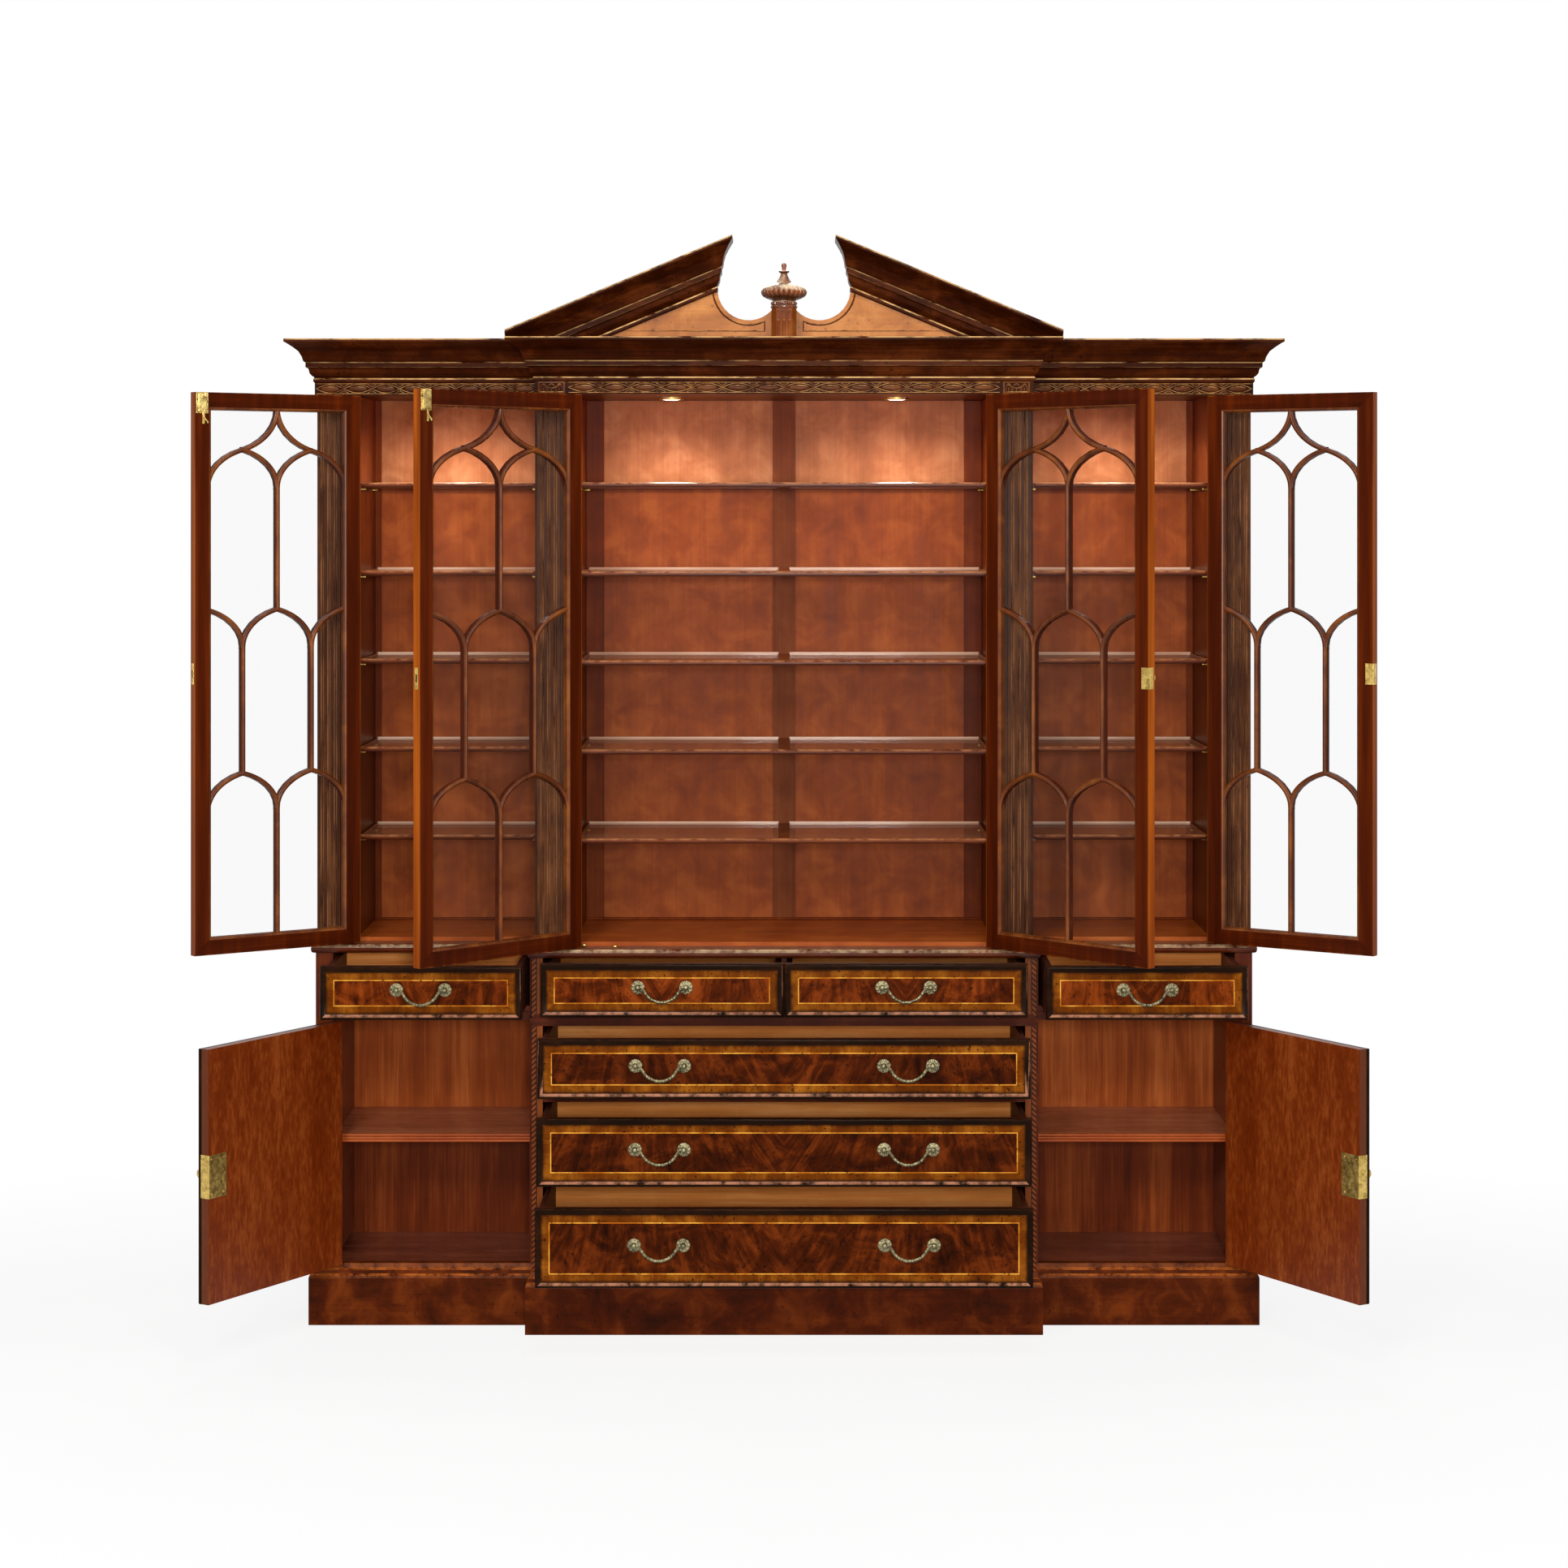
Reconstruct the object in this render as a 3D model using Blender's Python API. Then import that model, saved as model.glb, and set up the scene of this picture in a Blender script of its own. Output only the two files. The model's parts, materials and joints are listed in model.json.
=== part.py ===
"""Breakfront display cabinet with glazed doors above and drawers and cupboards below.

Metres, +Z up, front towards -Y. The origin is on the floor under the middle of the case.
"""

import math

import bmesh
import bpy
from mathutils import Vector

# Whole case
CASE_HALF_WIDTH = 1.096
CASE_DEPTH = 0.480
BREAK_STEP = 0.090
CENTRE_SHARE = 0.532
UPPER_SETBACK = 0.030
UPPER_CENTRE_INSET = 0.010
BACK_THICKNESS = 0.012
SEAT_GAP = 0.0003
OVERLAP = 0.0015

# Plinth
PLINTH_HEIGHT = 0.110
PLINTH_MOULDING_HEIGHT = 0.032
PLINTH_PROJECTION = 0.015
PLINTH_THICKNESS = 0.022
BEARER_WIDTH = 0.045
BACK_RAIL_HEIGHT = 0.060

# Lower case
LOWER_CASE_HEIGHT = 0.726
LOWER_SIDE_THICKNESS = 0.040
CUPBOARD_LIP_WIDTH = 0.012
CHEST_STILE_WIDTH = 0.025
FLOOR_THICKNESS = 0.020
ROW_BOARD_THICKNESS = 0.033
ROW_BEAD_PROJECTION = 0.005
ROW_BEAD_HEIGHT = 0.011
ROW_BEAD_RISE = 0.008
WAIST_THICKNESS = 0.020
WAIST_NOSE = 0.010
WAIST_NOSE_RADIUS = 0.007
CUPBOARD_SHELF_SHARE = 0.408
CUPBOARD_SHELF_THICKNESS = 0.020
CUPBOARD_SHELF_SETBACK = 0.034
LOWER_DOOR_THICKNESS = 0.026

# Drawers
DRAWER_GAP = 0.0015
DRAWER_FRONT_THICKNESS = 0.022
DRAWER_SIDE_THICKNESS = 0.012
DRAWER_BOTTOM_THICKNESS = 0.008
DRAWER_SIDE_INSET = 0.006
DRAWER_RIM_DROP = 0.008
SMALL_DRAWER_SPLIT = 0.003
SMALL_DIVIDER_THICKNESS = 0.012
CENTRE_DRAWER_DEPTH = 0.420
WING_DRAWER_DEPTH = 0.330
SMALL_DRAWER_SHARE = 0.2068
LONG_DRAWER_SHARES = (0.3026, 0.2607, 0.2299)
DRAWER_RAIL_HEIGHTS = (0.0215, 0.036, 0.0385)
SMALL_DRAWER_PULL = 0.090
WING_DRAWER_PULL = 0.220
LONG_DRAWER_PULLS = (0.250, 0.200, 0.180)
COCKBEAD_WIDTH = 0.013
COCKBEAD_PROJECTION = 0.003

# Drawer handles
BOSS_SPACING = 0.110
BOSS_RISE = 0.008
LONG_HANDLE_SHARE = 0.502
ROSETTE_RADIUS = 0.0155
ROSETTE_THICKNESS = 0.004
POST_RADIUS = 0.0045
POST_LENGTH = 0.015
BAIL_STANDOFF = 0.0105
BAIL_DROP = 0.034
BAIL_RADIUS = 0.0034

# Upper case
UPPER_HEIGHT = 1.286
END_STILE_WIDTH = 0.091
CENTRE_STILE_WIDTH = 0.087
UPPER_LIP_WIDTH = 0.012
UPPER_FLOOR_THICKNESS = 0.010
LINING_THICKNESS = 0.018
STILE_DEPTH = 0.022
PILASTER_WIDTH = 0.054
PILASTER_PROJECTION = 0.006
FLUTE_COUNT = 3
FLUTE_DEPTH = 0.003
MUNTIN_WIDTH = 0.056
MUNTIN_PROJECTION = 0.004
TOP_THICKNESS = 0.018
FRIEZE_HEIGHT = 0.029
FRIEZE_THICKNESS = 0.020
CORNICE_HEIGHT = 0.101
CORNICE_PROJECTION = 0.070
CORNICE_THICKNESS = 0.030

# Upper shelves
SHELF_COUNT = 5
SHELF_FIRST_SHARE = 0.1858
SHELF_PITCH_SHARE = 0.1617
SHELF_THICKNESS = 0.012
SHELF_SETBACK = 0.040
STANDARD_WIDTH = 0.012
STANDARD_DEPTH = 0.008

# Doors
PIN_PROUD = 0.0045
DOOR_EDGE_GAP = 0.0015
DOOR_FOOT_GAP = 0.003
DOOR_HEAD_GAP = 0.002
DOOR_THICKNESS = 0.022
DOOR_STILE_WIDTH = 0.036
DOOR_RAIL_WIDTH = 0.034
BAR_WIDTH = 0.0105
BAR_DEPTH = 0.010
BAR_SETBACK = 0.002
PANE_THICKNESS = 0.003
KNUCKLE_RADIUS = 0.0042
KNUCKLE_LENGTH = 0.022
LEAF_WIDTH = 0.008
HINGE_INSET = 0.130
TALL_DOOR_HEIGHT = 1.000
WING_DOOR_OPEN_DEG = 146.0
CENTRE_DOOR_OPEN_DEG = 134.0
LOWER_DOOR_OPEN_DEG = 122.0

# Tracery of the glazed doors, as shares of the glass height measured down from its top
OGEE_MEET_SHARE = 0.079
FIRST_SPRING_SHARE = 0.150
SECOND_APEX_SHARE = 0.381
SECOND_SPRING_SHARE = 0.452
THIRD_APEX_SHARE = 0.690
THIRD_SPRING_SHARE = 0.758
ARC_STEPS = 6
ARC_TURN = math.radians(68)

# Locks and bolts
KEY_STEM_RADIUS = 0.0025
KEY_STEM_LENGTH = 0.014
KEY_BOW_WIDTH = 0.020
KEY_BOW_HEIGHT = 0.015
KEY_BOW_THICKNESS = 0.003
KEY_INSET = 0.022
BOLT_WIDTH = 0.006
BOLT_DEPTH = 0.004
BOLT_LENGTH = 0.072
BOLT_INSET = 0.020
BOLT_TRAVEL = 0.012
KEEPER_CLEARANCE = 0.003

# Pediment
PEDIMENT_RISE = 0.234
RAKE_HEIGHT = 0.112
RAKE_FOOT_RISE = 0.0155
RAKE_GAP_HALF = 0.159
RAKE_RETURN_SHARE = 0.57
RAKE_CAP_THICKNESS = 0.014
RAKE_CAP_DEPTH = 0.060
TYMPANUM_THICKNESS = 0.022
SCOOP_RADIUS = 0.0725
SCOOP_OFFSET = 0.082
SCOOP_RISE = 0.1135
SCOOP_STEPS = 12
BLOCK_WIDTH = 0.057
BLOCK_HEIGHT = 0.066
BLOCK_CANT = 0.010
FINIAL_RADIUS = 0.0535
FINIAL_HEIGHT = 0.106
TURNED_SIDES = 20

# Places worked out from the sizes above
FRONT_Y = -CASE_DEPTH / 2
BACK_Y = CASE_DEPTH / 2
WING_Y = FRONT_Y + BREAK_STEP
UPPER_FRONT_Y = FRONT_Y + UPPER_SETBACK
UPPER_WING_Y = WING_Y + UPPER_SETBACK
LOWER_CENTRE_HALF = CASE_HALF_WIDTH * CENTRE_SHARE
UPPER_CENTRE_HALF = LOWER_CENTRE_HALF - UPPER_CENTRE_INSET
CUPBOARD_INNER_HALF = LOWER_CENTRE_HALF + CUPBOARD_LIP_WIDTH
CHEST_OPENING_HALF = LOWER_CENTRE_HALF - CHEST_STILE_WIDTH
UPPER_OPENING_OUTER = CASE_HALF_WIDTH - END_STILE_WIDTH
UPPER_OPENING_INNER = UPPER_CENTRE_HALF + UPPER_LIP_WIDTH
CENTRE_OPENING_HALF = UPPER_CENTRE_HALF - CENTRE_STILE_WIDTH
LONG_HANDLE_OFFSET = CHEST_OPENING_HALF * LONG_HANDLE_SHARE
INNER_BACK_Y = BACK_Y - BACK_THICKNESS - SEAT_GAP
CASE_BASE = PLINTH_HEIGHT + PLINTH_MOULDING_HEIGHT
WAIST_BASE = CASE_BASE + LOWER_CASE_HEIGHT
WAIST_TOP = WAIST_BASE + WAIST_THICKNESS
UPPER_TOP = WAIST_TOP + UPPER_HEIGHT
UPPER_FLOOR_TOP = WAIST_TOP + SEAT_GAP + UPPER_FLOOR_THICKNESS
FRIEZE_TOP = UPPER_TOP + FRIEZE_HEIGHT
CORNICE_TOP = FRIEZE_TOP + CORNICE_HEIGHT
DRAWERS_HEIGHT = LOWER_CASE_HEIGHT - sum(DRAWER_RAIL_HEIGHTS) - ROW_BOARD_THICKNESS
DRAWERS_HEIGHT -= 2 * DRAWER_GAP * (len(LONG_DRAWER_SHARES) + 1)
SMALL_DRAWER_HEIGHT = DRAWERS_HEIGHT * SMALL_DRAWER_SHARE
LONG_DRAWER_HEIGHTS = tuple(DRAWERS_HEIGHT * share for share in LONG_DRAWER_SHARES)
CUPBOARD_SHELF_RISE = LOWER_CASE_HEIGHT * CUPBOARD_SHELF_SHARE
SHELF_FIRST_RISE = UPPER_HEIGHT * SHELF_FIRST_SHARE
SHELF_PITCH = UPPER_HEIGHT * SHELF_PITCH_SHARE
ROW_BASE = WAIST_BASE - SMALL_DRAWER_HEIGHT - 2 * DRAWER_GAP - ROW_BOARD_THICKNESS
ROW_TOP = ROW_BASE + ROW_BOARD_THICKNESS
LOWER_OPENING_OUTER = CASE_HALF_WIDTH - LOWER_SIDE_THICKNESS

# Cornice profile from its foot up, as shares of its projection and of its height
CORNICE_PROFILE_SHARES = (
    (0.09, 0.00), (0.13, 0.03), (0.13, 0.09), (0.10, 0.13), (0.17, 0.16), (0.24, 0.22),
    (0.27, 0.32), (0.36, 0.36), (0.36, 0.46), (0.43, 0.50), (0.47, 0.60), (0.57, 0.72),
    (0.75, 0.82), (0.92, 0.90), (1.00, 0.93), (1.00, 1.00),
)
# Plinth moulding profile from the top of the plain board up, as shares of the same kind
PLINTH_PROFILE_SHARES = ((1.00, 0.00), (0.90, 0.16), (0.62, 0.30), (0.58, 0.55), (0.30, 0.72), (0.10, 1.00))
# Bail centre line from the post to the middle, as shares of half the boss spacing and of the drop
BAIL_LINE_SHARES = ((0.84, 0.00), (0.74, 0.22), (0.60, 0.56), (0.42, 0.81), (0.21, 0.96), (0.00, 1.00))
# Turned finial, from its foot up, as shares of its widest radius and of its height
FINIAL_PROFILE_SHARES = (
    (0.00, 0.000), (0.58, 0.000), (0.58, 0.050), (0.52, 0.075), (0.56, 0.110), (0.52, 0.150), (0.60, 0.180),
    (0.86, 0.250), (0.98, 0.310), (1.00, 0.345), (0.95, 0.400), (0.76, 0.470), (0.48, 0.530), (0.29, 0.590),
    (0.17, 0.680), (0.13, 0.760), (0.22, 0.785), (0.22, 0.820), (0.09, 0.840), (0.07, 0.900), (0.10, 0.950),
    (0.05, 1.000), (0.00, 1.000),
)

MATERIALS = {
    "mahogany": ((0.155, 0.042, 0.016), 0.32, 0.0),
    "carved_mahogany": ((0.120, 0.034, 0.014), 0.36, 0.0),
    "drawer_wood": ((0.180, 0.056, 0.018), 0.30, 0.0),
    "interior_wood": ((0.300, 0.100, 0.036), 0.42, 0.0),
    "antique_brass": ((0.260, 0.200, 0.110), 0.42, 1.0),
    "lock_brass": ((0.520, 0.400, 0.160), 0.35, 1.0),
    "glass": ((0.900, 0.950, 0.930), 0.03, 0.0),
}


def material(name):
    """The named finish, made once."""
    found = bpy.data.materials.get(name)
    if found:
        return found
    colour, roughness, metallic = MATERIALS[name]
    made = bpy.data.materials.new(name)
    made.use_nodes = True
    shader = made.node_tree.nodes["Principled BSDF"]
    shader.inputs["Base Color"].default_value = (*colour, 1.0)
    shader.inputs["Roughness"].default_value = roughness
    shader.inputs["Metallic"].default_value = metallic
    return made


def clear_scene():
    for obj in list(bpy.data.objects):
        bpy.data.objects.remove(obj)


def add_object(name, bm, finish, smooth=False):
    """An object from the bmesh, with its faces turned outwards."""
    bmesh.ops.recalc_face_normals(bm, faces=bm.faces)
    mesh = bpy.data.meshes.new(name)
    bm.to_mesh(mesh)
    bm.free()
    if smooth:
        mesh.shade_smooth()
        mesh.set_sharp_from_angle(angle=math.radians(40))
    obj = bpy.data.objects.new(name, mesh)
    bpy.context.scene.collection.objects.link(obj)
    obj.data.materials.append(material(finish))
    return obj


def add_boolean(obj, bm, operation):
    """Joins to the object, or cuts from it, the shapes in the bmesh."""
    helper = add_object(f"{obj.name}_{operation.lower()}", bm, "mahogany")
    helper.hide_render = True
    helper.display_type = "WIRE"
    helper.parent = obj
    modifier = obj.modifiers.new(operation.capitalize(), "BOOLEAN")
    modifier.operation = operation
    modifier.solver = "EXACT"
    modifier.use_self = True
    modifier.object = helper


def add_box(bm, low, high):
    """A box between two opposite corners."""
    x0, y0, z0 = (min(a, b) for a, b in zip(low, high))
    x1, y1, z1 = (max(a, b) for a, b in zip(low, high))
    corners = [bm.verts.new((x, y, z)) for z in (z0, z1) for x, y in ((x0, y0), (x1, y0), (x1, y1), (x0, y1))]
    for face in ((3, 2, 1, 0), (4, 5, 6, 7), (0, 1, 5, 4), (1, 2, 6, 5), (2, 3, 7, 6), (3, 0, 4, 7)):
        bm.faces.new([corners[i] for i in face])


def add_rings(bm, rings, closed_ends=True):
    """A skin through rings that each hold the same number of points, with its ends filled."""
    loops = [[bm.verts.new(point) for point in ring] for ring in rings]
    count = len(loops[0])
    for near, far in zip(loops, loops[1:]):
        for i in range(count):
            j = (i + 1) % count
            bm.faces.new((near[i], near[j], far[j], far[i]))
    if closed_ends:
        bm.faces.new(loops[0][::-1])
        bm.faces.new(loops[-1])


def add_plan_prism(bm, outline, bottom, top):
    """An upright prism on an outline of (x, y) points."""
    add_rings(bm, [[(x, y, z) for x, y in outline] for z in (bottom, top)])


def add_face_prism(bm, outline, near, far):
    """A prism through the depth, on an outline of (x, z) points."""
    add_rings(bm, [[(x, y, z) for x, z in outline] for y in (near, far)])


def add_cylinder(bm, start, end, radius, sides=12):
    """A round bar between two points."""
    start, end = Vector(start), Vector(end)
    along = (end - start).normalized()
    side = along.orthogonal().normalized()
    other = along.cross(side)
    turns = [math.tau * i / sides for i in range(sides)]
    spokes = [radius * (math.cos(turn) * side + math.sin(turn) * other) for turn in turns]
    add_rings(bm, [[tuple(centre + spoke) for spoke in spokes] for centre in (start, end)])


def both_sides(outline):
    """An outline given for x <= 0 from the back to the front, closed by its mirror."""
    return list(outline) + [(-x, y) for x, y in reversed(outline)]


def breakfront(half, centre_half, front, back):
    """Plan of a board that follows the stepped front, with its middle part at front."""
    wing = front + BREAK_STEP
    return both_sides([(-half, back), (-half, wing), (-centre_half, wing), (-centre_half, front)])


def case_path(centre_half, front):
    """The case's outer face in plan, from the back left corner round to the back right one."""
    return breakfront(CASE_HALF_WIDTH, centre_half, front, BACK_Y)


def mitred_rings(path, profile, base):
    """Rings of (outward, up) profile points set along a plan path, mitred at its corners."""
    path = [Vector(point) for point in path]
    ways = [(b - a).normalized() for a, b in zip(path, path[1:])]
    outs = [Vector((way.y, -way.x)) for way in ways]
    rings = []
    for i, point in enumerate(path):
        before = outs[max(i - 1, 0)]
        after = outs[min(i, len(outs) - 1)]
        mitre = (before + after) / (1 + before.dot(after))
        rings.append([(point.x + mitre.x * out, point.y + mitre.y * out, base + up) for out, up in profile])
    return rings


# Plinth and carcass of the lower case


def make_plinth():
    profile = [(-PLINTH_THICKNESS, 0), (PLINTH_PROJECTION, 0), (PLINTH_PROJECTION, PLINTH_HEIGHT)]
    for out, up in PLINTH_PROFILE_SHARES[1:]:
        profile.append((PLINTH_PROJECTION * out, PLINTH_HEIGHT + PLINTH_MOULDING_HEIGHT * up))
    profile.append((-PLINTH_THICKNESS, CASE_BASE))
    bm = bmesh.new()
    path = case_path(LOWER_CENTRE_HALF, FRONT_Y)
    add_rings(bm, mitred_rings(path, profile, 0))
    plinth = add_object("plinth", bm, "mahogany")
    bearer_top = PLINTH_HEIGHT
    front = FRONT_Y + PLINTH_THICKNESS - OVERLAP
    inner = CASE_HALF_WIDTH - PLINTH_THICKNESS + OVERLAP
    rail_front = BACK_Y - PLINTH_THICKNESS
    ties = bmesh.new()
    add_box(ties, (-inner, rail_front, 0), (inner, BACK_Y, BACK_RAIL_HEIGHT))
    for x in (-LOWER_CENTRE_HALF, 0, LOWER_CENTRE_HALF):
        start = front if x == 0 else WING_Y
        shift = (x > 0) * -BEARER_WIDTH + (x == 0) * -BEARER_WIDTH / 2
        add_box(ties, (x + shift, start, 0), (x + shift + BEARER_WIDTH, rail_front + OVERLAP, bearer_top))
    add_boolean(plinth, ties, "UNION")


def make_lower_case():
    top = WAIST_BASE - SEAT_GAP
    base = CASE_BASE + SEAT_GAP
    for side, sign in (("left", -1), ("right", 1)):
        bm = bmesh.new()
        add_box(bm, (sign * CASE_HALF_WIDTH, WING_Y, base), (sign * LOWER_OPENING_OUTER, INNER_BACK_Y, top))
        case_side = add_object(f"lower_side_{side}", bm, "mahogany")
        rest = bmesh.new()
        add_knuckles(rest, sign * LOWER_OPENING_OUTER, WING_Y, -sign, hinge_heights(*LOWER_DOOR_SPAN), False)
        add_boolean(case_side, rest, "UNION")
    floor_edge = PLINTH_THICKNESS + SEAT_GAP
    half = CASE_HALF_WIDTH - floor_edge
    foot = PLINTH_HEIGHT + SEAT_GAP
    outline = both_sides([(-half, foot), (-half, base), (-CASE_HALF_WIDTH, base), (-CASE_HALF_WIDTH, top)])
    bm = bmesh.new()
    add_face_prism(bm, outline, INNER_BACK_Y + SEAT_GAP, BACK_Y)
    add_object("lower_back", bm, "interior_wood")
    centre_half = LOWER_CENTRE_HALF - floor_edge
    outline = breakfront(half, centre_half, FRONT_Y + floor_edge, INNER_BACK_Y)
    bm = bmesh.new()
    add_plan_prism(bm, outline, PLINTH_HEIGHT + SEAT_GAP, PLINTH_HEIGHT + SEAT_GAP + FLOOR_THICKNESS)
    add_object("lower_floor", bm, "interior_wood")


def partition_plan(sign, front_half, wall_half, inner_half):
    """Plan of a partition: flush with the centre's side in front, thicker beside the cupboard."""
    outline = [
        (front_half, FRONT_Y), (front_half, WING_Y), (wall_half, WING_Y),
        (wall_half, INNER_BACK_Y), (inner_half, INNER_BACK_Y), (inner_half, FRONT_Y),
    ]
    return [(sign * x, y) for x, y in outline]


def rail_levels():
    """(bottom, top) of each rail under a long drawer, from the floor up."""
    levels = []
    height = CASE_BASE
    for rail, drawer in zip(DRAWER_RAIL_HEIGHTS, LONG_DRAWER_HEIGHTS):
        levels.append((height, height + rail))
        height += rail + drawer + 2 * DRAWER_GAP
    return levels


def make_chest_frame():
    """The two partitions beside the long drawers, with the dust boards between them."""
    bm = bmesh.new()
    outline = partition_plan(-1, LOWER_CENTRE_HALF, CUPBOARD_INNER_HALF, CHEST_OPENING_HALF)
    add_plan_prism(bm, outline, CASE_BASE + SEAT_GAP, ROW_BASE - SEAT_GAP)
    frame = add_object("chest_frame", bm, "mahogany")
    rest = bmesh.new()
    outline = partition_plan(1, LOWER_CENTRE_HALF, CUPBOARD_INNER_HALF, CHEST_OPENING_HALF)
    add_plan_prism(rest, outline, CASE_BASE + SEAT_GAP, ROW_BASE - SEAT_GAP)
    reach = CHEST_OPENING_HALF + OVERLAP
    for bottom, top in rail_levels():
        low = max(bottom, CASE_BASE + SEAT_GAP)
        add_box(rest, (-reach, FRONT_Y, low), (reach, INNER_BACK_Y, top))
    add_boolean(frame, rest, "UNION")


def make_drawer_row_frame():
    """The board under the small drawers, its bead and the uprights between the drawers."""
    half = LOWER_OPENING_OUTER - SEAT_GAP
    bm = bmesh.new()
    add_plan_prism(bm, breakfront(half, LOWER_CENTRE_HALF, FRONT_Y, INNER_BACK_Y), ROW_BASE, ROW_TOP)
    frame = add_object("drawer_row_frame", bm, "mahogany")
    rest = bmesh.new()
    for sign in (-1, 1):
        outline = partition_plan(sign, LOWER_CENTRE_HALF, CUPBOARD_INNER_HALF, CHEST_OPENING_HALF)
        add_plan_prism(rest, outline, ROW_TOP - OVERLAP, WAIST_BASE - SEAT_GAP)
    middle = SMALL_DIVIDER_THICKNESS / 2
    divider_front = FRONT_Y + DRAWER_FRONT_THICKNESS + DRAWER_GAP
    add_box(rest, (-middle, divider_front, ROW_TOP - OVERLAP), (middle, INNER_BACK_Y, WAIST_BASE - SEAT_GAP))
    bead_base = ROW_BASE + ROW_BEAD_RISE
    bead_front = FRONT_Y - ROW_BEAD_PROJECTION
    outline = breakfront(half, LOWER_CENTRE_HALF + ROW_BEAD_PROJECTION, bead_front, WING_Y + STILE_DEPTH)
    add_plan_prism(rest, outline, bead_base, bead_base + ROW_BEAD_HEIGHT)
    add_boolean(frame, rest, "UNION")


def make_cupboard_shelves():
    outer = LOWER_OPENING_OUTER - SEAT_GAP
    inner = CUPBOARD_INNER_HALF + SEAT_GAP
    top = CASE_BASE + CUPBOARD_SHELF_RISE
    for side, sign in (("left", -1), ("right", 1)):
        bm = bmesh.new()
        front = WING_Y + CUPBOARD_SHELF_SETBACK
        add_box(bm, (sign * outer, front, top - CUPBOARD_SHELF_THICKNESS), (sign * inner, INNER_BACK_Y, top))
        add_object(f"{side}_cupboard_shelf", bm, "mahogany")


def make_waist_top():
    bm = bmesh.new()
    half = CASE_HALF_WIDTH + WAIST_NOSE
    outline = breakfront(half, LOWER_CENTRE_HALF + WAIST_NOSE, FRONT_Y - WAIST_NOSE, BACK_Y)
    add_plan_prism(bm, outline, WAIST_BASE, WAIST_TOP)
    bm.normal_update()
    edges = []
    for edge in bm.edges:
        middle = (edge.verts[0].co + edge.verts[1].co) / 2
        flat = abs(edge.verts[0].co.z - edge.verts[1].co.z) < SEAT_GAP
        if flat and middle.y < BACK_Y - SEAT_GAP:
            edges.append(edge)
    bmesh.ops.bevel(bm, geom=edges, offset=WAIST_NOSE_RADIUS, segments=2, affect="EDGES", profile=0.5)
    add_object("waist_top", bm, "mahogany")


# Drawers and their handles


def add_drawer_box(bm, width, height, depth):
    """The box behind a drawer's front: x along the front, y back from its face, z up from its foot."""
    half = width / 2
    box_half = half - DRAWER_SIDE_INSET
    foot = SEAT_GAP - DRAWER_GAP
    rim = height - DRAWER_RIM_DROP
    inner = box_half - DRAWER_SIDE_THICKNESS
    inner_front = DRAWER_FRONT_THICKNESS
    inner_back = depth - DRAWER_SIDE_THICKNESS
    floor = foot + DRAWER_BOTTOM_THICKNESS
    outer_plan = [(-box_half, 0), (box_half, 0), (box_half, depth), (-box_half, depth)]
    inner_plan = [(-inner, 0), (inner, 0), (inner, inner_back), (-inner, inner_back)]
    start = DRAWER_FRONT_THICKNESS - OVERLAP
    rings = []
    outer_levels = [(outer_plan, foot, start), (outer_plan, rim, start)]
    inner_levels = [(inner_plan, rim, inner_front), (inner_plan, floor, inner_front)]
    for plan, z, front in outer_levels + inner_levels:
        rings.append([(x, max(y, front), z) for x, y in plan])
    add_rings(bm, rings)


def add_drawer_front(bm, width, height):
    """The front board with its cock bead as a raised rim round the edge."""
    half = width / 2
    rings = []
    for inset, y in (
        (0, DRAWER_FRONT_THICKNESS),
        (0, 0),
        (COCKBEAD_WIDTH / 4, -COCKBEAD_PROJECTION),
        (COCKBEAD_WIDTH, -COCKBEAD_PROJECTION),
        (COCKBEAD_WIDTH, 0),
    ):
        rings.append([
            (-half + inset, y, inset), (half - inset, y, inset),
            (half - inset, y, height - inset), (-half + inset, y, height - inset),
        ])
    add_rings(bm, rings)


def make_drawer(name, closed_place, size, pull, offsets):
    """One drawer pulled out of its opening by pull, with a bail at each offset."""
    width, height, depth = size
    bm = bmesh.new()
    add_drawer_front(bm, width, height)
    drawer = add_object(name, bm, "drawer_wood")
    drawer.location = Vector(closed_place) - Vector((0, pull, 0))
    rest = bmesh.new()
    add_drawer_box(rest, width, height, depth)
    places = [(offset, height / 2 + BOSS_RISE) for offset in offsets]
    for x, z in places:
        for sign in (-1, 1):
            boss = x + sign * BOSS_SPACING / 2
            add_cylinder(rest, (boss, OVERLAP, z), (boss, -ROSETTE_THICKNESS, z), ROSETTE_RADIUS, 10)
            add_cylinder(rest, (boss, OVERLAP, z), (boss, -POST_LENGTH, z), POST_RADIUS, 8)
    add_boolean(drawer, rest, "UNION")
    for number, (x, z) in enumerate(places, 1):
        label = f"{name}_bail" if len(places) == 1 else f"{name}_bail_{number}"
        make_bail(label, drawer, (x, -BAIL_STANDOFF, z))


def make_bail(name, drawer, place):
    """A swan-neck bail that hangs from a pivot line between its two posts."""
    half = BOSS_SPACING / 2
    line = [(half - POST_RADIUS - SEAT_GAP, 0)]
    line += [(half * out, -BAIL_DROP * down) for out, down in BAIL_LINE_SHARES]
    points = [(-x, z) for x, z in line] + [(x, z) for x, z in reversed(line[:-1])]
    curve = bpy.data.curves.new(name, "CURVE")
    curve.dimensions = "3D"
    curve.bevel_depth = BAIL_RADIUS
    curve.bevel_resolution = 1
    curve.use_fill_caps = True
    spline = curve.splines.new("POLY")
    spline.points.add(len(points) - 1)
    for point, (x, z) in zip(spline.points, points):
        point.co = (x, 0, z, 1)
    bail = bpy.data.objects.new(name, curve)
    bpy.context.scene.collection.objects.link(bail)
    curve.materials.append(material("antique_brass"))
    bail.parent = drawer
    bail.location = place


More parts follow.
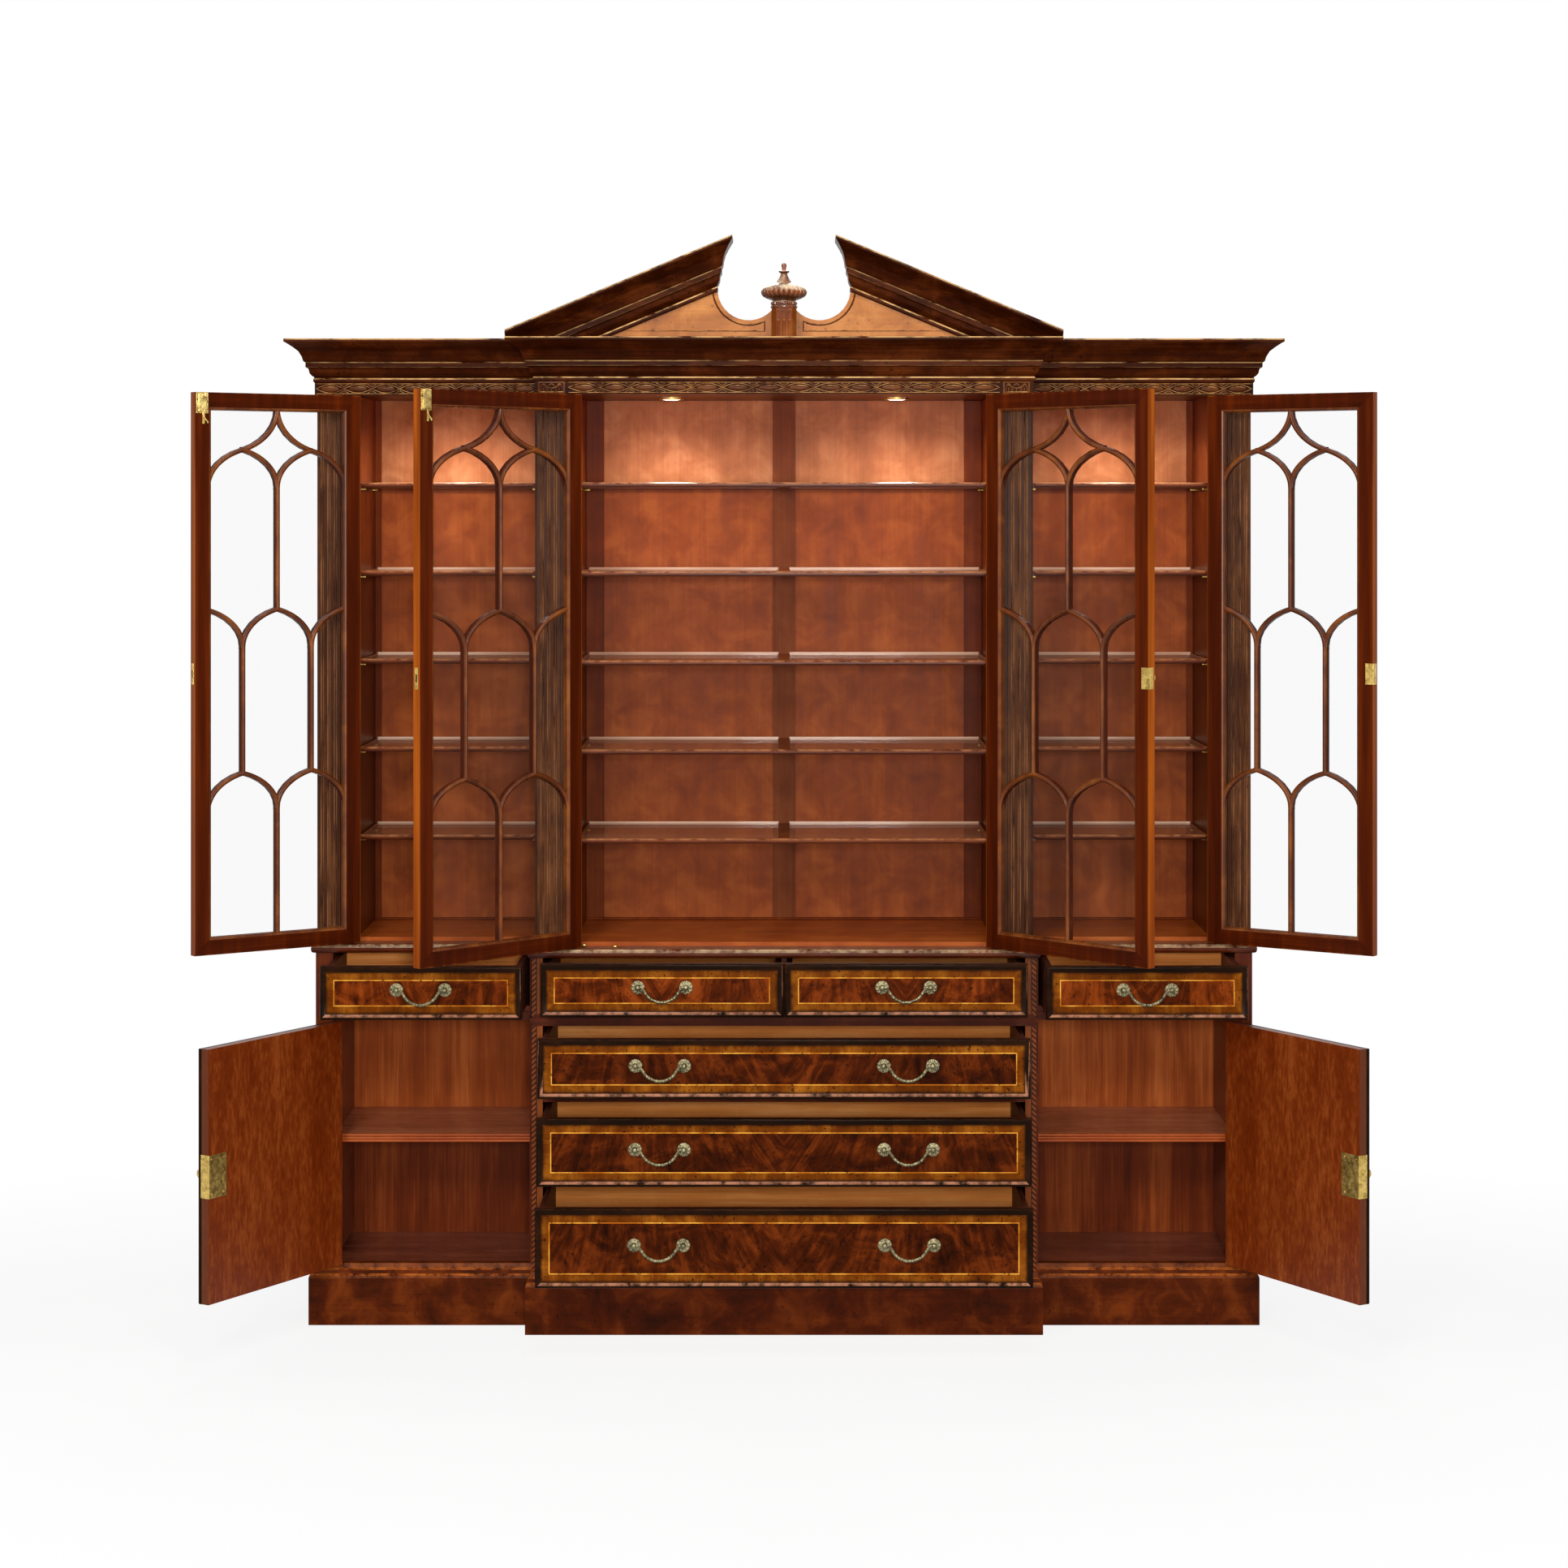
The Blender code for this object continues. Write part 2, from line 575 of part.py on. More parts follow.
def make_drawers():
    wing_width = LOWER_OPENING_OUTER - CUPBOARD_INNER_HALF - 2 * DRAWER_GAP
    wing_centre = (LOWER_OPENING_OUTER + CUPBOARD_INNER_HALF) / 2
    small_width = CHEST_OPENING_HALF - DRAWER_GAP - SMALL_DRAWER_SPLIT / 2
    small_centre = (CHEST_OPENING_HALF - DRAWER_GAP + SMALL_DRAWER_SPLIT / 2) / 2
    long_width = 2 * (CHEST_OPENING_HALF - DRAWER_GAP)
    small_base = ROW_TOP + DRAWER_GAP
    wing_size = (wing_width, SMALL_DRAWER_HEIGHT, WING_DRAWER_DEPTH)
    small_size = (small_width, SMALL_DRAWER_HEIGHT, CENTRE_DRAWER_DEPTH)
    for side, sign in (("left", -1), ("right", 1)):
        wing_place = (sign * wing_centre, WING_Y, small_base)
        make_drawer(f"wing_drawer_{side}", wing_place, wing_size, WING_DRAWER_PULL, (0,))
        small_place = (sign * small_centre, FRONT_Y, small_base)
        make_drawer(f"small_drawer_{side}", small_place, small_size, SMALL_DRAWER_PULL, (0,))
    names = ("bottom", "middle", "upper")
    for name, (_, top), height, pull in zip(names, rail_levels(), LONG_DRAWER_HEIGHTS, LONG_DRAWER_PULLS):
        size = (long_width, height, CENTRE_DRAWER_DEPTH)
        offsets = (-LONG_HANDLE_OFFSET, LONG_HANDLE_OFFSET)
        make_drawer(f"long_drawer_{name}", (0, FRONT_Y, top + DRAWER_GAP), size, pull, offsets)


# Doors with their hinges, locks and bolts

LOWER_DOOR_SPAN = (CASE_BASE + DOOR_EDGE_GAP, ROW_BASE - DOOR_EDGE_GAP)
UPPER_DOOR_SPAN = (WAIST_TOP + DOOR_FOOT_GAP, UPPER_TOP - DOOR_HEAD_GAP)


def hinge_heights(bottom, top):
    """Middle height of each hinge on a door that spans bottom to top: two, or three on a tall door."""
    ends = [bottom + HINGE_INSET, top - HINGE_INSET]
    if top - bottom > TALL_DOOR_HEIGHT:
        ends.insert(1, (bottom + top) / 2)
    return ends


def add_knuckles(bm, pin_x, face_y, way, heights, on_door):
    """The hinge knuckles of one leaf: the door's pair, or the single one on the stile between them.

    The pin stands proud of the face, and way is +1 where the door lies towards +X from its pin.
    """
    pin_y = face_y - PIN_PROUD
    reach = way * LEAF_WIDTH * (1 if on_door else -1)
    edge = way * DOOR_EDGE_GAP * (1 if on_door else 0)
    for height in heights:
        middles = (height - KNUCKLE_LENGTH, height + KNUCKLE_LENGTH) if on_door else (height,)
        for middle in middles:
            low = middle - KNUCKLE_LENGTH / 2 + SEAT_GAP / 2
            high = middle + KNUCKLE_LENGTH / 2 - SEAT_GAP / 2
            add_cylinder(bm, (pin_x, pin_y, low), (pin_x, pin_y, high), KNUCKLE_RADIUS, 10)
            add_box(bm, (pin_x + edge, pin_y, low), (pin_x + reach, face_y + OVERLAP, high))


def door_bars(left, right, bottom, top):
    """Centre lines of the glazing bars, as lists of (x, z) points, in a glass opening."""
    width = right - left
    height = top - bottom

    def level(share):
        return top - height * share

    def column(share):
        return left + width * share

    def arch(foot, apex):
        """An arc that leaves the foot upright and leans over to the apex."""
        (x0, z0), (x1, z1) = foot, apex
        points = []
        for step in range(ARC_STEPS + 1):
            turn = ARC_TURN * step / ARC_STEPS
            across = (1 - math.cos(turn)) / (1 - math.cos(ARC_TURN))
            points.append((x0 + (x1 - x0) * across, z0 + (z1 - z0) * math.sin(turn) / math.sin(ARC_TURN)))
        return points

    bars = []
    centre_foot = (column(1 / 2), level(FIRST_SPRING_SHARE))
    for quarter, edge in ((1 / 4, 0), (3 / 4, 1)):
        meet = (column(quarter), level(OGEE_MEET_SHARE))
        bars.append(arch((column(edge), level(FIRST_SPRING_SHARE)), meet))
        bars.append(arch(centre_foot, meet))
        bars.append(arch((column(1 / 2), level(0)), meet))
        foot = (column(quarter), level(SECOND_SPRING_SHARE))
        bars.append(arch(foot, (column(edge), level(SECOND_APEX_SHARE))))
        bars.append(arch(foot, (column(1 / 2), level(SECOND_APEX_SHARE))))
        third = (column(quarter), level(THIRD_APEX_SHARE))
        bars.append([foot, third])
        bars.append(arch((column(edge), level(THIRD_SPRING_SHARE)), third))
        bars.append(arch((column(1 / 2), level(THIRD_SPRING_SHARE)), third))
    bars.append([centre_foot, (column(1 / 2), level(SECOND_APEX_SHARE))])
    bars.append([(column(1 / 2), level(THIRD_SPRING_SHARE)), (column(1 / 2), level(1))])
    return bars


def add_bar(bm, line, near, far):
    """A straight-sided glazing bar of the given depth along a centre line."""
    half = BAR_WIDTH / 2
    points = [Vector(point) for point in line]
    first = (points[1] - points[0]).normalized()
    last = (points[-1] - points[-2]).normalized()
    points[0] = points[0] - first * half
    points[-1] = points[-1] + last * half
    lefts, rights = [], []
    for i, point in enumerate(points):
        ahead = points[min(i + 1, len(points) - 1)]
        behind = points[max(i - 1, 0)]
        way = (ahead - behind).normalized()
        side = Vector((-way.y, way.x)) * half
        lefts.append(point + side)
        rights.append(point - side)
    rings = []
    for left, right in zip(lefts, rights):
        corners = ((left, near), (right, near), (right, far), (left, far))
        rings.append([(point.x, y, point.y) for point, y in corners])
    add_rings(bm, rings)


def make_glazed_door(name, way, pin, width, open_deg):
    """A glazed door with its pane, hung open on its pin. way is +1 for a door hinged at its left."""
    bottom, top = UPPER_DOOR_SPAN
    near = PIN_PROUD
    far = PIN_PROUD + DOOR_THICKNESS
    left, right = DOOR_EDGE_GAP + DOOR_STILE_WIDTH, width - DOOR_STILE_WIDTH
    low, high = bottom + DOOR_RAIL_WIDTH, top - DOOR_RAIL_WIDTH
    outer = [(DOOR_EDGE_GAP, bottom), (width, bottom), (width, top), (DOOR_EDGE_GAP, top)]
    inner = [(left, low), (right, low), (right, high), (left, high)]
    bm = bmesh.new()
    loops = [(outer, near), (outer, far), (inner, far), (inner, near), (outer, near)]
    rings = [[bm.verts.new((way * x, y, z)) for x, z in outline] for outline, y in loops[:-1]]
    rings.append(rings[0])
    for one, two in zip(rings, rings[1:]):
        for i in range(4):
            j = (i + 1) % 4
            bm.faces.new((one[i], one[j], two[j], two[i]))
    door = add_object(name, bm, "mahogany")
    rest = bmesh.new()
    for line in door_bars(left, right, low, high):
        add_bar(rest, [(way * x, z) for x, z in line], near + BAR_SETBACK, near + BAR_SETBACK + BAR_DEPTH)
    add_knuckles(rest, 0, PIN_PROUD, way, hinge_heights(bottom, top), True)
    add_boolean(door, rest, "UNION")
    door.location = (*pin, 0)
    door.rotation_euler.z = -way * math.radians(open_deg)
    pane_near = near + BAR_SETBACK + BAR_DEPTH + SEAT_GAP
    bm = bmesh.new()
    corner = (way * (left + SEAT_GAP), pane_near, low + SEAT_GAP)
    add_box(bm, corner, (way * (right - SEAT_GAP), pane_near + PANE_THICKNESS, high - SEAT_GAP))
    pane = add_object(f"{name}_glass", bm, "glass")
    pane.parent = door
    return door


def make_key(name, door, way, width, height):
    """A key that stands in the lock from the door's outer face and turns about its stem."""
    bm = bmesh.new()
    bow_near = -KEY_STEM_LENGTH - KEY_BOW_HEIGHT + OVERLAP
    add_cylinder(bm, (0, -SEAT_GAP, 0), (0, -KEY_STEM_LENGTH, 0), KEY_STEM_RADIUS, 8)
    key = add_object(name, bm, "lock_brass")
    rest = bmesh.new()
    sides = 8
    outline = []
    for step in range(sides):
        turn = math.tau * (step + 1 / 2) / sides
        middle = (bow_near - KEY_STEM_LENGTH + OVERLAP) / 2
        outline.append((middle + KEY_BOW_HEIGHT / 2 * math.cos(turn), KEY_BOW_WIDTH / 2 * math.sin(turn)))
    half = KEY_BOW_THICKNESS / 2
    add_rings(rest, [[(x, y, z) for y, z in outline] for x in (-half, half)])
    add_boolean(key, rest, "UNION")
    key.parent = door
    key.location = (way * (width - KEY_INSET), PIN_PROUD, height)


def make_bolt(name, door, way, width, top):
    """The rod of a flush bolt at the head of the door's free stile, on its inner face."""
    bm = bmesh.new()
    half = BOLT_WIDTH / 2
    add_box(bm, (-half, 0, -BOLT_LENGTH), (half, BOLT_DEPTH, 0))
    bolt = add_object(name, bm, "lock_brass")
    bolt.parent = door
    bolt.location = (way * (width - BOLT_INSET), PIN_PROUD + DOOR_THICKNESS + SEAT_GAP, top)


def make_doors():
    wing_width = UPPER_OPENING_OUTER - UPPER_OPENING_INNER - DOOR_EDGE_GAP
    centre_width = CENTRE_OPENING_HALF - DOOR_EDGE_GAP
    bottom, top = UPPER_DOOR_SPAN
    middle = (bottom + top) / 2
    for side, way in (("left", 1), ("right", -1)):
        wing_pin = (-way * UPPER_OPENING_OUTER, UPPER_WING_Y - PIN_PROUD)
        wing = make_glazed_door(f"wing_door_{side}", way, wing_pin, wing_width, WING_DOOR_OPEN_DEG)
        centre_pin = (-way * CENTRE_OPENING_HALF, UPPER_FRONT_Y - PIN_PROUD)
        centre = make_glazed_door(f"centre_door_{side}", way, centre_pin, centre_width, CENTRE_DOOR_OPEN_DEG)
        if side == "left":
            make_bolt("wing_door_bolt", wing, way, wing_width, top)
            make_bolt("centre_door_bolt", centre, way, centre_width, top)
        else:
            make_key("wing_door_key", wing, way, wing_width, middle)
            make_key("centre_door_key", centre, way, centre_width, middle)
        make_lower_door(side, way)


def make_lower_door(side, way):
    width = LOWER_OPENING_OUTER - CUPBOARD_INNER_HALF - DOOR_EDGE_GAP
    bottom, top = LOWER_DOOR_SPAN
    bm = bmesh.new()
    far = PIN_PROUD + LOWER_DOOR_THICKNESS
    add_box(bm, (way * DOOR_EDGE_GAP, PIN_PROUD, bottom), (way * width, far, top))
    door = add_object(f"lower_door_{side}", bm, "mahogany")
    rest = bmesh.new()
    add_knuckles(rest, 0, PIN_PROUD, way, hinge_heights(bottom, top), True)
    add_boolean(door, rest, "UNION")
    door.location = (-way * LOWER_OPENING_OUTER, WING_Y - PIN_PROUD, 0)
    door.rotation_euler.z = -way * math.radians(LOWER_DOOR_OPEN_DEG)
    make_key(f"lower_door_key_{side}", door, way, width, (bottom + top) / 2)


# Upper case


def flute_points(start, end, face):
    """Front line of a fluted pilaster from start to end, with each flute as a shallow hollow."""
    pitch = (end - start) / (FLUTE_COUNT + 1 / 2)
    points = [(start, face)]
    for number in range(FLUTE_COUNT):
        near = start + pitch * (number + 1 / 2)
        points += [
            (near, face),
            (near + pitch / 6, face + FLUTE_DEPTH),
            (near + pitch / 3, face + FLUTE_DEPTH),
            (near + pitch / 2, face),
        ]
    points.append((end, face))
    return points


def column_plan(sign, faces, opening, front, wing_wall):
    """Plan of a hollow upright: outer wall, fluted front and inner wall, open to the back.

    faces holds the outer face in front of and behind the wing plane.
    """
    outer_front, outer_back = faces
    back = INNER_BACK_Y
    wall = LINING_THICKNESS
    pilaster = front - PILASTER_PROJECTION
    outline = [(outer_back, back), (outer_back, wing_wall)]
    if outer_front != outer_back:
        outline.append((outer_front, wing_wall))
    end = outer_front - PILASTER_WIDTH
    outline += flute_points(outer_front, end, pilaster)
    outline += [(end, front), (opening, front), (opening, back), (opening + wall, back)]
    outline += [(opening + wall, front + STILE_DEPTH)]
    inner_outer = outer_back - wall
    outline += [(inner_outer, front + STILE_DEPTH), (inner_outer, back)]
    return [(sign * x, y) for x, y in outline]


def make_upper_uprights():
    base = WAIST_TOP + SEAT_GAP
    top = UPPER_TOP - SEAT_GAP
    heights = hinge_heights(*UPPER_DOOR_SPAN)
    for side, sign in (("left", -1), ("right", 1)):
        faces = (CASE_HALF_WIDTH, CASE_HALF_WIDTH)
        bm = bmesh.new()
        plan = column_plan(sign, faces, UPPER_OPENING_OUTER, UPPER_WING_Y, UPPER_WING_Y)
        add_plan_prism(bm, plan, base, top)
        upright = add_object(f"upper_side_{side}", bm, "carved_mahogany")
        rest = bmesh.new()
        add_knuckles(rest, sign * UPPER_OPENING_OUTER, UPPER_WING_Y, -sign, heights, False)
        add_boolean(upright, rest, "UNION")
        faces = (UPPER_CENTRE_HALF, UPPER_OPENING_INNER)
        bm = bmesh.new()
        plan = column_plan(sign, faces, CENTRE_OPENING_HALF, UPPER_FRONT_Y, UPPER_WING_Y)
        add_plan_prism(bm, plan, UPPER_FLOOR_TOP + SEAT_GAP, top)
        upright = add_object(f"upper_partition_{side}", bm, "carved_mahogany")
        rest = bmesh.new()
        add_knuckles(rest, sign * CENTRE_OPENING_HALF, UPPER_FRONT_Y, -sign, heights, False)
        add_boolean(upright, rest, "UNION")


def make_upper_floor():
    inset = DOOR_THICKNESS + DOOR_HEAD_GAP
    half = UPPER_OPENING_OUTER - SEAT_GAP
    notch = MUNTIN_WIDTH / 2 + SEAT_GAP
    outline = both_sides([
        (-notch, INNER_BACK_Y - MUNTIN_PROJECTION),
        (-notch, INNER_BACK_Y),
        (-half, INNER_BACK_Y),
        (-half, UPPER_WING_Y + inset),
        (-UPPER_OPENING_INNER, UPPER_WING_Y + inset),
        (-UPPER_OPENING_INNER, UPPER_WING_Y),
        (-UPPER_CENTRE_HALF, UPPER_WING_Y),
        (-UPPER_CENTRE_HALF, UPPER_FRONT_Y - PILASTER_PROJECTION),
        (-CENTRE_OPENING_HALF, UPPER_FRONT_Y - PILASTER_PROJECTION),
        (-CENTRE_OPENING_HALF, UPPER_FRONT_Y + inset),
    ])
    bm = bmesh.new()
    add_plan_prism(bm, outline, WAIST_TOP + SEAT_GAP, UPPER_FLOOR_TOP)
    add_object("upper_floor", bm, "interior_wood")


def make_upper_back():
    half = MUNTIN_WIDTH / 2
    face = INNER_BACK_Y + SEAT_GAP
    outline = both_sides([
        (-CASE_HALF_WIDTH, BACK_Y),
        (-CASE_HALF_WIDTH, face),
        (-half, face),
        (-half, face - MUNTIN_PROJECTION),
    ])
    bm = bmesh.new()
    add_plan_prism(bm, outline, WAIST_TOP + SEAT_GAP, UPPER_TOP - SEAT_GAP)
    add_object("upper_back", bm, "interior_wood")


def make_upper_top():
    """The ceiling board inside the frieze, with the holes that the bolts shoot into."""
    inset = FRIEZE_THICKNESS + SEAT_GAP
    bm = bmesh.new()
    outline = breakfront(CASE_HALF_WIDTH - inset, UPPER_CENTRE_HALF - inset, UPPER_FRONT_Y + inset, BACK_Y)
    add_plan_prism(bm, outline, UPPER_TOP, UPPER_TOP + TOP_THICKNESS)
    top = add_object("upper_top", bm, "interior_wood")
    keepers = bmesh.new()
    reach = BOLT_WIDTH / 2 + KEEPER_CLEARANCE
    wing_width = UPPER_OPENING_OUTER - UPPER_OPENING_INNER - DOOR_EDGE_GAP
    centre_width = CENTRE_OPENING_HALF - DOOR_EDGE_GAP
    places = (
        (-UPPER_OPENING_OUTER + wing_width - BOLT_INSET, UPPER_WING_Y),
        (-CENTRE_OPENING_HALF + centre_width - BOLT_INSET, UPPER_FRONT_Y),
    )
    for x, face in places:
        near = face + DOOR_THICKNESS + SEAT_GAP - KEEPER_CLEARANCE
        far = face + DOOR_THICKNESS + SEAT_GAP + BOLT_DEPTH + KEEPER_CLEARANCE
        foot = UPPER_TOP - OVERLAP
        add_box(keepers, (x - reach, near, foot), (x + reach, far, UPPER_TOP + TOP_THICKNESS + OVERLAP))
    add_boolean(top, keepers, "DIFFERENCE")


def make_frieze():
    low, high = SEAT_GAP, FRIEZE_HEIGHT - SEAT_GAP
    profile = [
        (-FRIEZE_THICKNESS, low), (PILASTER_PROJECTION, low),
        (PILASTER_PROJECTION, high), (-FRIEZE_THICKNESS, high),
    ]
    bm = bmesh.new()
    add_rings(bm, mitred_rings(case_path(UPPER_CENTRE_HALF, UPPER_FRONT_Y), profile, UPPER_TOP))
    add_object("frieze", bm, "carved_mahogany")


def make_cornice():
    profile = [(-CORNICE_THICKNESS, 0)]
    profile += [(CORNICE_PROJECTION * out, CORNICE_HEIGHT * up) for out, up in CORNICE_PROFILE_SHARES]
    profile.append((-CORNICE_THICKNESS, CORNICE_HEIGHT))
    bm = bmesh.new()
    add_rings(bm, mitred_rings(case_path(UPPER_CENTRE_HALF, UPPER_FRONT_Y), profile, FRIEZE_TOP))
    add_object("cornice", bm, "carved_mahogany", smooth=True)


def shelf_tops():
    """Height of each shelf's upper face."""
    first = UPPER_FLOOR_TOP + SHELF_FIRST_RISE
    return [first + SHELF_PITCH * number for number in range(SHELF_COUNT)]


def make_shelves(name, low_x, high_x, front):
    """The shelves of one bay on the two slotted standards that carry them at the back."""
    tops = shelf_tops()
    bm = bmesh.new()
    back = INNER_BACK_Y - MUNTIN_PROJECTION - SEAT_GAP
    low, high = low_x + SEAT_GAP, high_x - SEAT_GAP
    add_box(bm, (low, front, tops[0] - SHELF_THICKNESS), (high, back, tops[0]))
    shelves = add_object(name, bm, "interior_wood")
    rest = bmesh.new()
    for top in tops[1:]:
        add_box(rest, (low, front, top - SHELF_THICKNESS), (high, back, top))
    foot = UPPER_FLOOR_TOP + SEAT_GAP
    head = tops[-1] - OVERLAP
    for x in (low + STANDARD_WIDTH, high - 2 * STANDARD_WIDTH):
        add_box(rest, (x, back - STANDARD_DEPTH, foot), (x + STANDARD_WIDTH, back - OVERLAP, head))
    add_boolean(shelves, rest, "UNION")


def make_all_shelves():
    centre_front = UPPER_FRONT_Y + SHELF_SETBACK
    wing_front = UPPER_WING_Y + SHELF_SETBACK
    make_shelves("centre_shelves", -CENTRE_OPENING_HALF, CENTRE_OPENING_HALF, centre_front)
    make_shelves("left_shelves", -UPPER_OPENING_OUTER, -UPPER_OPENING_INNER, wing_front)
    make_shelves("right_shelves", UPPER_OPENING_INNER, UPPER_OPENING_OUTER, wing_front)


# Pediment

PEDIMENT_HALF = UPPER_CENTRE_HALF + CORNICE_PROJECTION
RAKE_TIP_HALF = RAKE_GAP_HALF - CORNICE_PROJECTION * RAKE_RETURN_SHARE
RAKE_SLOPE = (PEDIMENT_RISE - RAKE_FOOT_RISE) / (PEDIMENT_HALF - RAKE_TIP_HALF)


def rake_top(distance):
    """Height of the raking cornice's top line above the level cornice, at a distance from the middle."""
    return PEDIMENT_RISE - RAKE_SLOPE * (distance - RAKE_TIP_HALF)


def make_raking_cornices():
    cap_share = 1 - RAKE_CAP_THICKNESS / RAKE_HEIGHT
    profile = [(0, 0)]
    profile += [(CORNICE_PROJECTION * out, up) for out, up in CORNICE_PROFILE_SHARES]
    profile += [(-RAKE_CAP_DEPTH, 1), (-RAKE_CAP_DEPTH, cap_share), (0, cap_share)]
    for side, sign in (("left", -1), ("right", 1)):
        foot, corner, end = [], [], []
        for out, up in profile:
            drop = RAKE_HEIGHT * (1 - up)
            foot_height = CORNICE_TOP + rake_top(PEDIMENT_HALF) - drop
            foot.append((sign * PEDIMENT_HALF, UPPER_FRONT_Y - out, foot_height))
            near = RAKE_GAP_HALF - RAKE_RETURN_SHARE * out
            height = CORNICE_TOP + rake_top(near) - drop
            corner.append((sign * near, UPPER_FRONT_Y - out, height))
            end.append((sign * near, UPPER_FRONT_Y + RAKE_CAP_DEPTH + OVERLAP, height))
        bm = bmesh.new()
        add_rings(bm, [foot, corner, end])
        raking = add_object(f"raking_cornice_{side}", bm, "carved_mahogany")
        below = bmesh.new()
        reach = PEDIMENT_HALF + CORNICE_PROJECTION
        low = (-reach, UPPER_FRONT_Y - 2 * CORNICE_PROJECTION, CORNICE_TOP - RAKE_HEIGHT)
        add_box(below, low, (reach, BACK_Y, CORNICE_TOP + SEAT_GAP))
        add_boolean(raking, below, "DIFFERENCE")


def make_tympanum():
    under_cap = RAKE_CAP_THICKNESS + SEAT_GAP
    base = CORNICE_TOP + SEAT_GAP
    edge = RAKE_GAP_HALF + SEAT_GAP
    below_return = rake_top(RAKE_GAP_HALF) - RAKE_HEIGHT - SEAT_GAP
    start = math.acos((SCOOP_RISE - below_return) / SCOOP_RADIUS)
    finish = -math.asin(min(1, (SCOOP_OFFSET - BLOCK_WIDTH / 2) / SCOOP_RADIUS))
    reach = PEDIMENT_HALF - RAKE_CAP_DEPTH
    half = [(reach, base), (reach, CORNICE_TOP + rake_top(reach) - under_cap)]
    half.append((edge, CORNICE_TOP + rake_top(edge) - under_cap))
    half.append((edge, CORNICE_TOP + below_return))
    for step in range(SCOOP_STEPS + 1):
        turn = start + (finish - start) * step / SCOOP_STEPS
        x = SCOOP_OFFSET + SCOOP_RADIUS * math.sin(turn)
        z = CORNICE_TOP + SCOOP_RISE - SCOOP_RADIUS * math.cos(turn)
        half.append((x, z))
    outline = [(-x, z) for x, z in half] + list(reversed(half))
    bm = bmesh.new()
    add_face_prism(bm, outline, UPPER_FRONT_Y + SEAT_GAP, UPPER_FRONT_Y + SEAT_GAP + TYMPANUM_THICKNESS)
    add_object("tympanum", bm, "carved_mahogany")


def make_finial():
    half = BLOCK_WIDTH / 2
    middle_y = UPPER_FRONT_Y - half
    inner = half - BLOCK_CANT
    outline = [
        (-half, inner), (-half, -inner), (-inner, -half), (inner, -half),
        (half, -inner), (half, inner), (inner, half), (-inner, half),
    ]
    base = CORNICE_TOP + SEAT_GAP
    bm = bmesh.new()
    add_plan_prism(bm, [(x, middle_y + y) for x, y in outline], base, base + BLOCK_HEIGHT)
    add_object("finial_block", bm, "carved_mahogany")
    foot = base + BLOCK_HEIGHT + SEAT_GAP
    bm = bmesh.new()
    points = [(FINIAL_RADIUS * out, FINIAL_HEIGHT * up) for out, up in FINIAL_PROFILE_SHARES]
    verts = [bm.verts.new((r, 0, z)) for r, z in points]
    edges = [bm.edges.new(pair) for pair in zip(verts, verts[1:])]
    turned = {"cent": (0, 0, 0), "axis": (0, 0, 1), "angle": math.tau, "steps": TURNED_SIDES}
    bmesh.ops.spin(bm, geom=verts + edges, use_merge=True, **turned)
    bmesh.ops.remove_doubles(bm, verts=bm.verts, dist=SEAT_GAP / 10)
    finial = add_object("finial", bm, "carved_mahogany", smooth=True)
    finial.location = (0, middle_y, foot)


def main():
    clear_scene()
    make_plinth()
    make_lower_case()
    make_chest_frame()
    make_drawer_row_frame()
    make_cupboard_shelves()
    make_waist_top()
    make_drawers()
    make_upper_uprights()
    make_upper_floor()
    make_upper_back()
    make_upper_top()
    make_frieze()
    make_cornice()
    make_all_shelves()
    make_doors()
    make_raking_cornices()
    make_tympanum()
    make_finial()


main()
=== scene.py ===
import json
import math

import bmesh
import bpy
from mathutils import Matrix, Vector


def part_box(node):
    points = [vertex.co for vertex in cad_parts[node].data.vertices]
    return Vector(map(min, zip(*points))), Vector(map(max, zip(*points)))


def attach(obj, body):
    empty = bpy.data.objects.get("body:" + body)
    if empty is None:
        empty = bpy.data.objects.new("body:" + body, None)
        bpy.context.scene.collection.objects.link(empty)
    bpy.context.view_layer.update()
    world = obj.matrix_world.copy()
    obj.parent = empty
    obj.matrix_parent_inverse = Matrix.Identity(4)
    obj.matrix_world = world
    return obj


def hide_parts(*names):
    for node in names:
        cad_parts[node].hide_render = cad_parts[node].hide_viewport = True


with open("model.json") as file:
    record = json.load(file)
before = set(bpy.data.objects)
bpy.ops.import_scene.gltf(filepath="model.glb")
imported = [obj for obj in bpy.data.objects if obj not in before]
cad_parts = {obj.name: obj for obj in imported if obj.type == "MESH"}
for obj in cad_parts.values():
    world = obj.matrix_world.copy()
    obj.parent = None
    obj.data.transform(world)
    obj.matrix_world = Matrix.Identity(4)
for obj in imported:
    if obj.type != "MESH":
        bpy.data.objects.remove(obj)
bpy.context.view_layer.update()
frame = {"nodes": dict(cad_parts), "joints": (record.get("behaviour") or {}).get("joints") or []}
nodes = frame["nodes"]
joints = {joint["child"]: joint for joint in frame["joints"]}
print("frame loaded with", len(nodes), "nodes")

# Planes and openings of the case, in metres
case = {
    "frontY": -0.24, "upperFrontY": -0.21, "upperWingY": -0.12, "innerBackY": 0.2277, "outerFace": 1.09,
    "lowerCentre": 0.5831, "upperCentre": 0.5725, "wingOpening": (0.5851, 1.005), "centreOpening": 0.4861,
    "ceiling": 2.174, "chestStile": (0.557, 0.584), "cupboardWall": 0.59, "sideInner": 1.057,
    "muntinHalf": 0.029, "knuckle": 0.0052, "stileBand": 0.0105, "stileLine": 0.0011,
}
# How far apart two planes may lie and count as one
hair = 0.0002


# Shader expressions

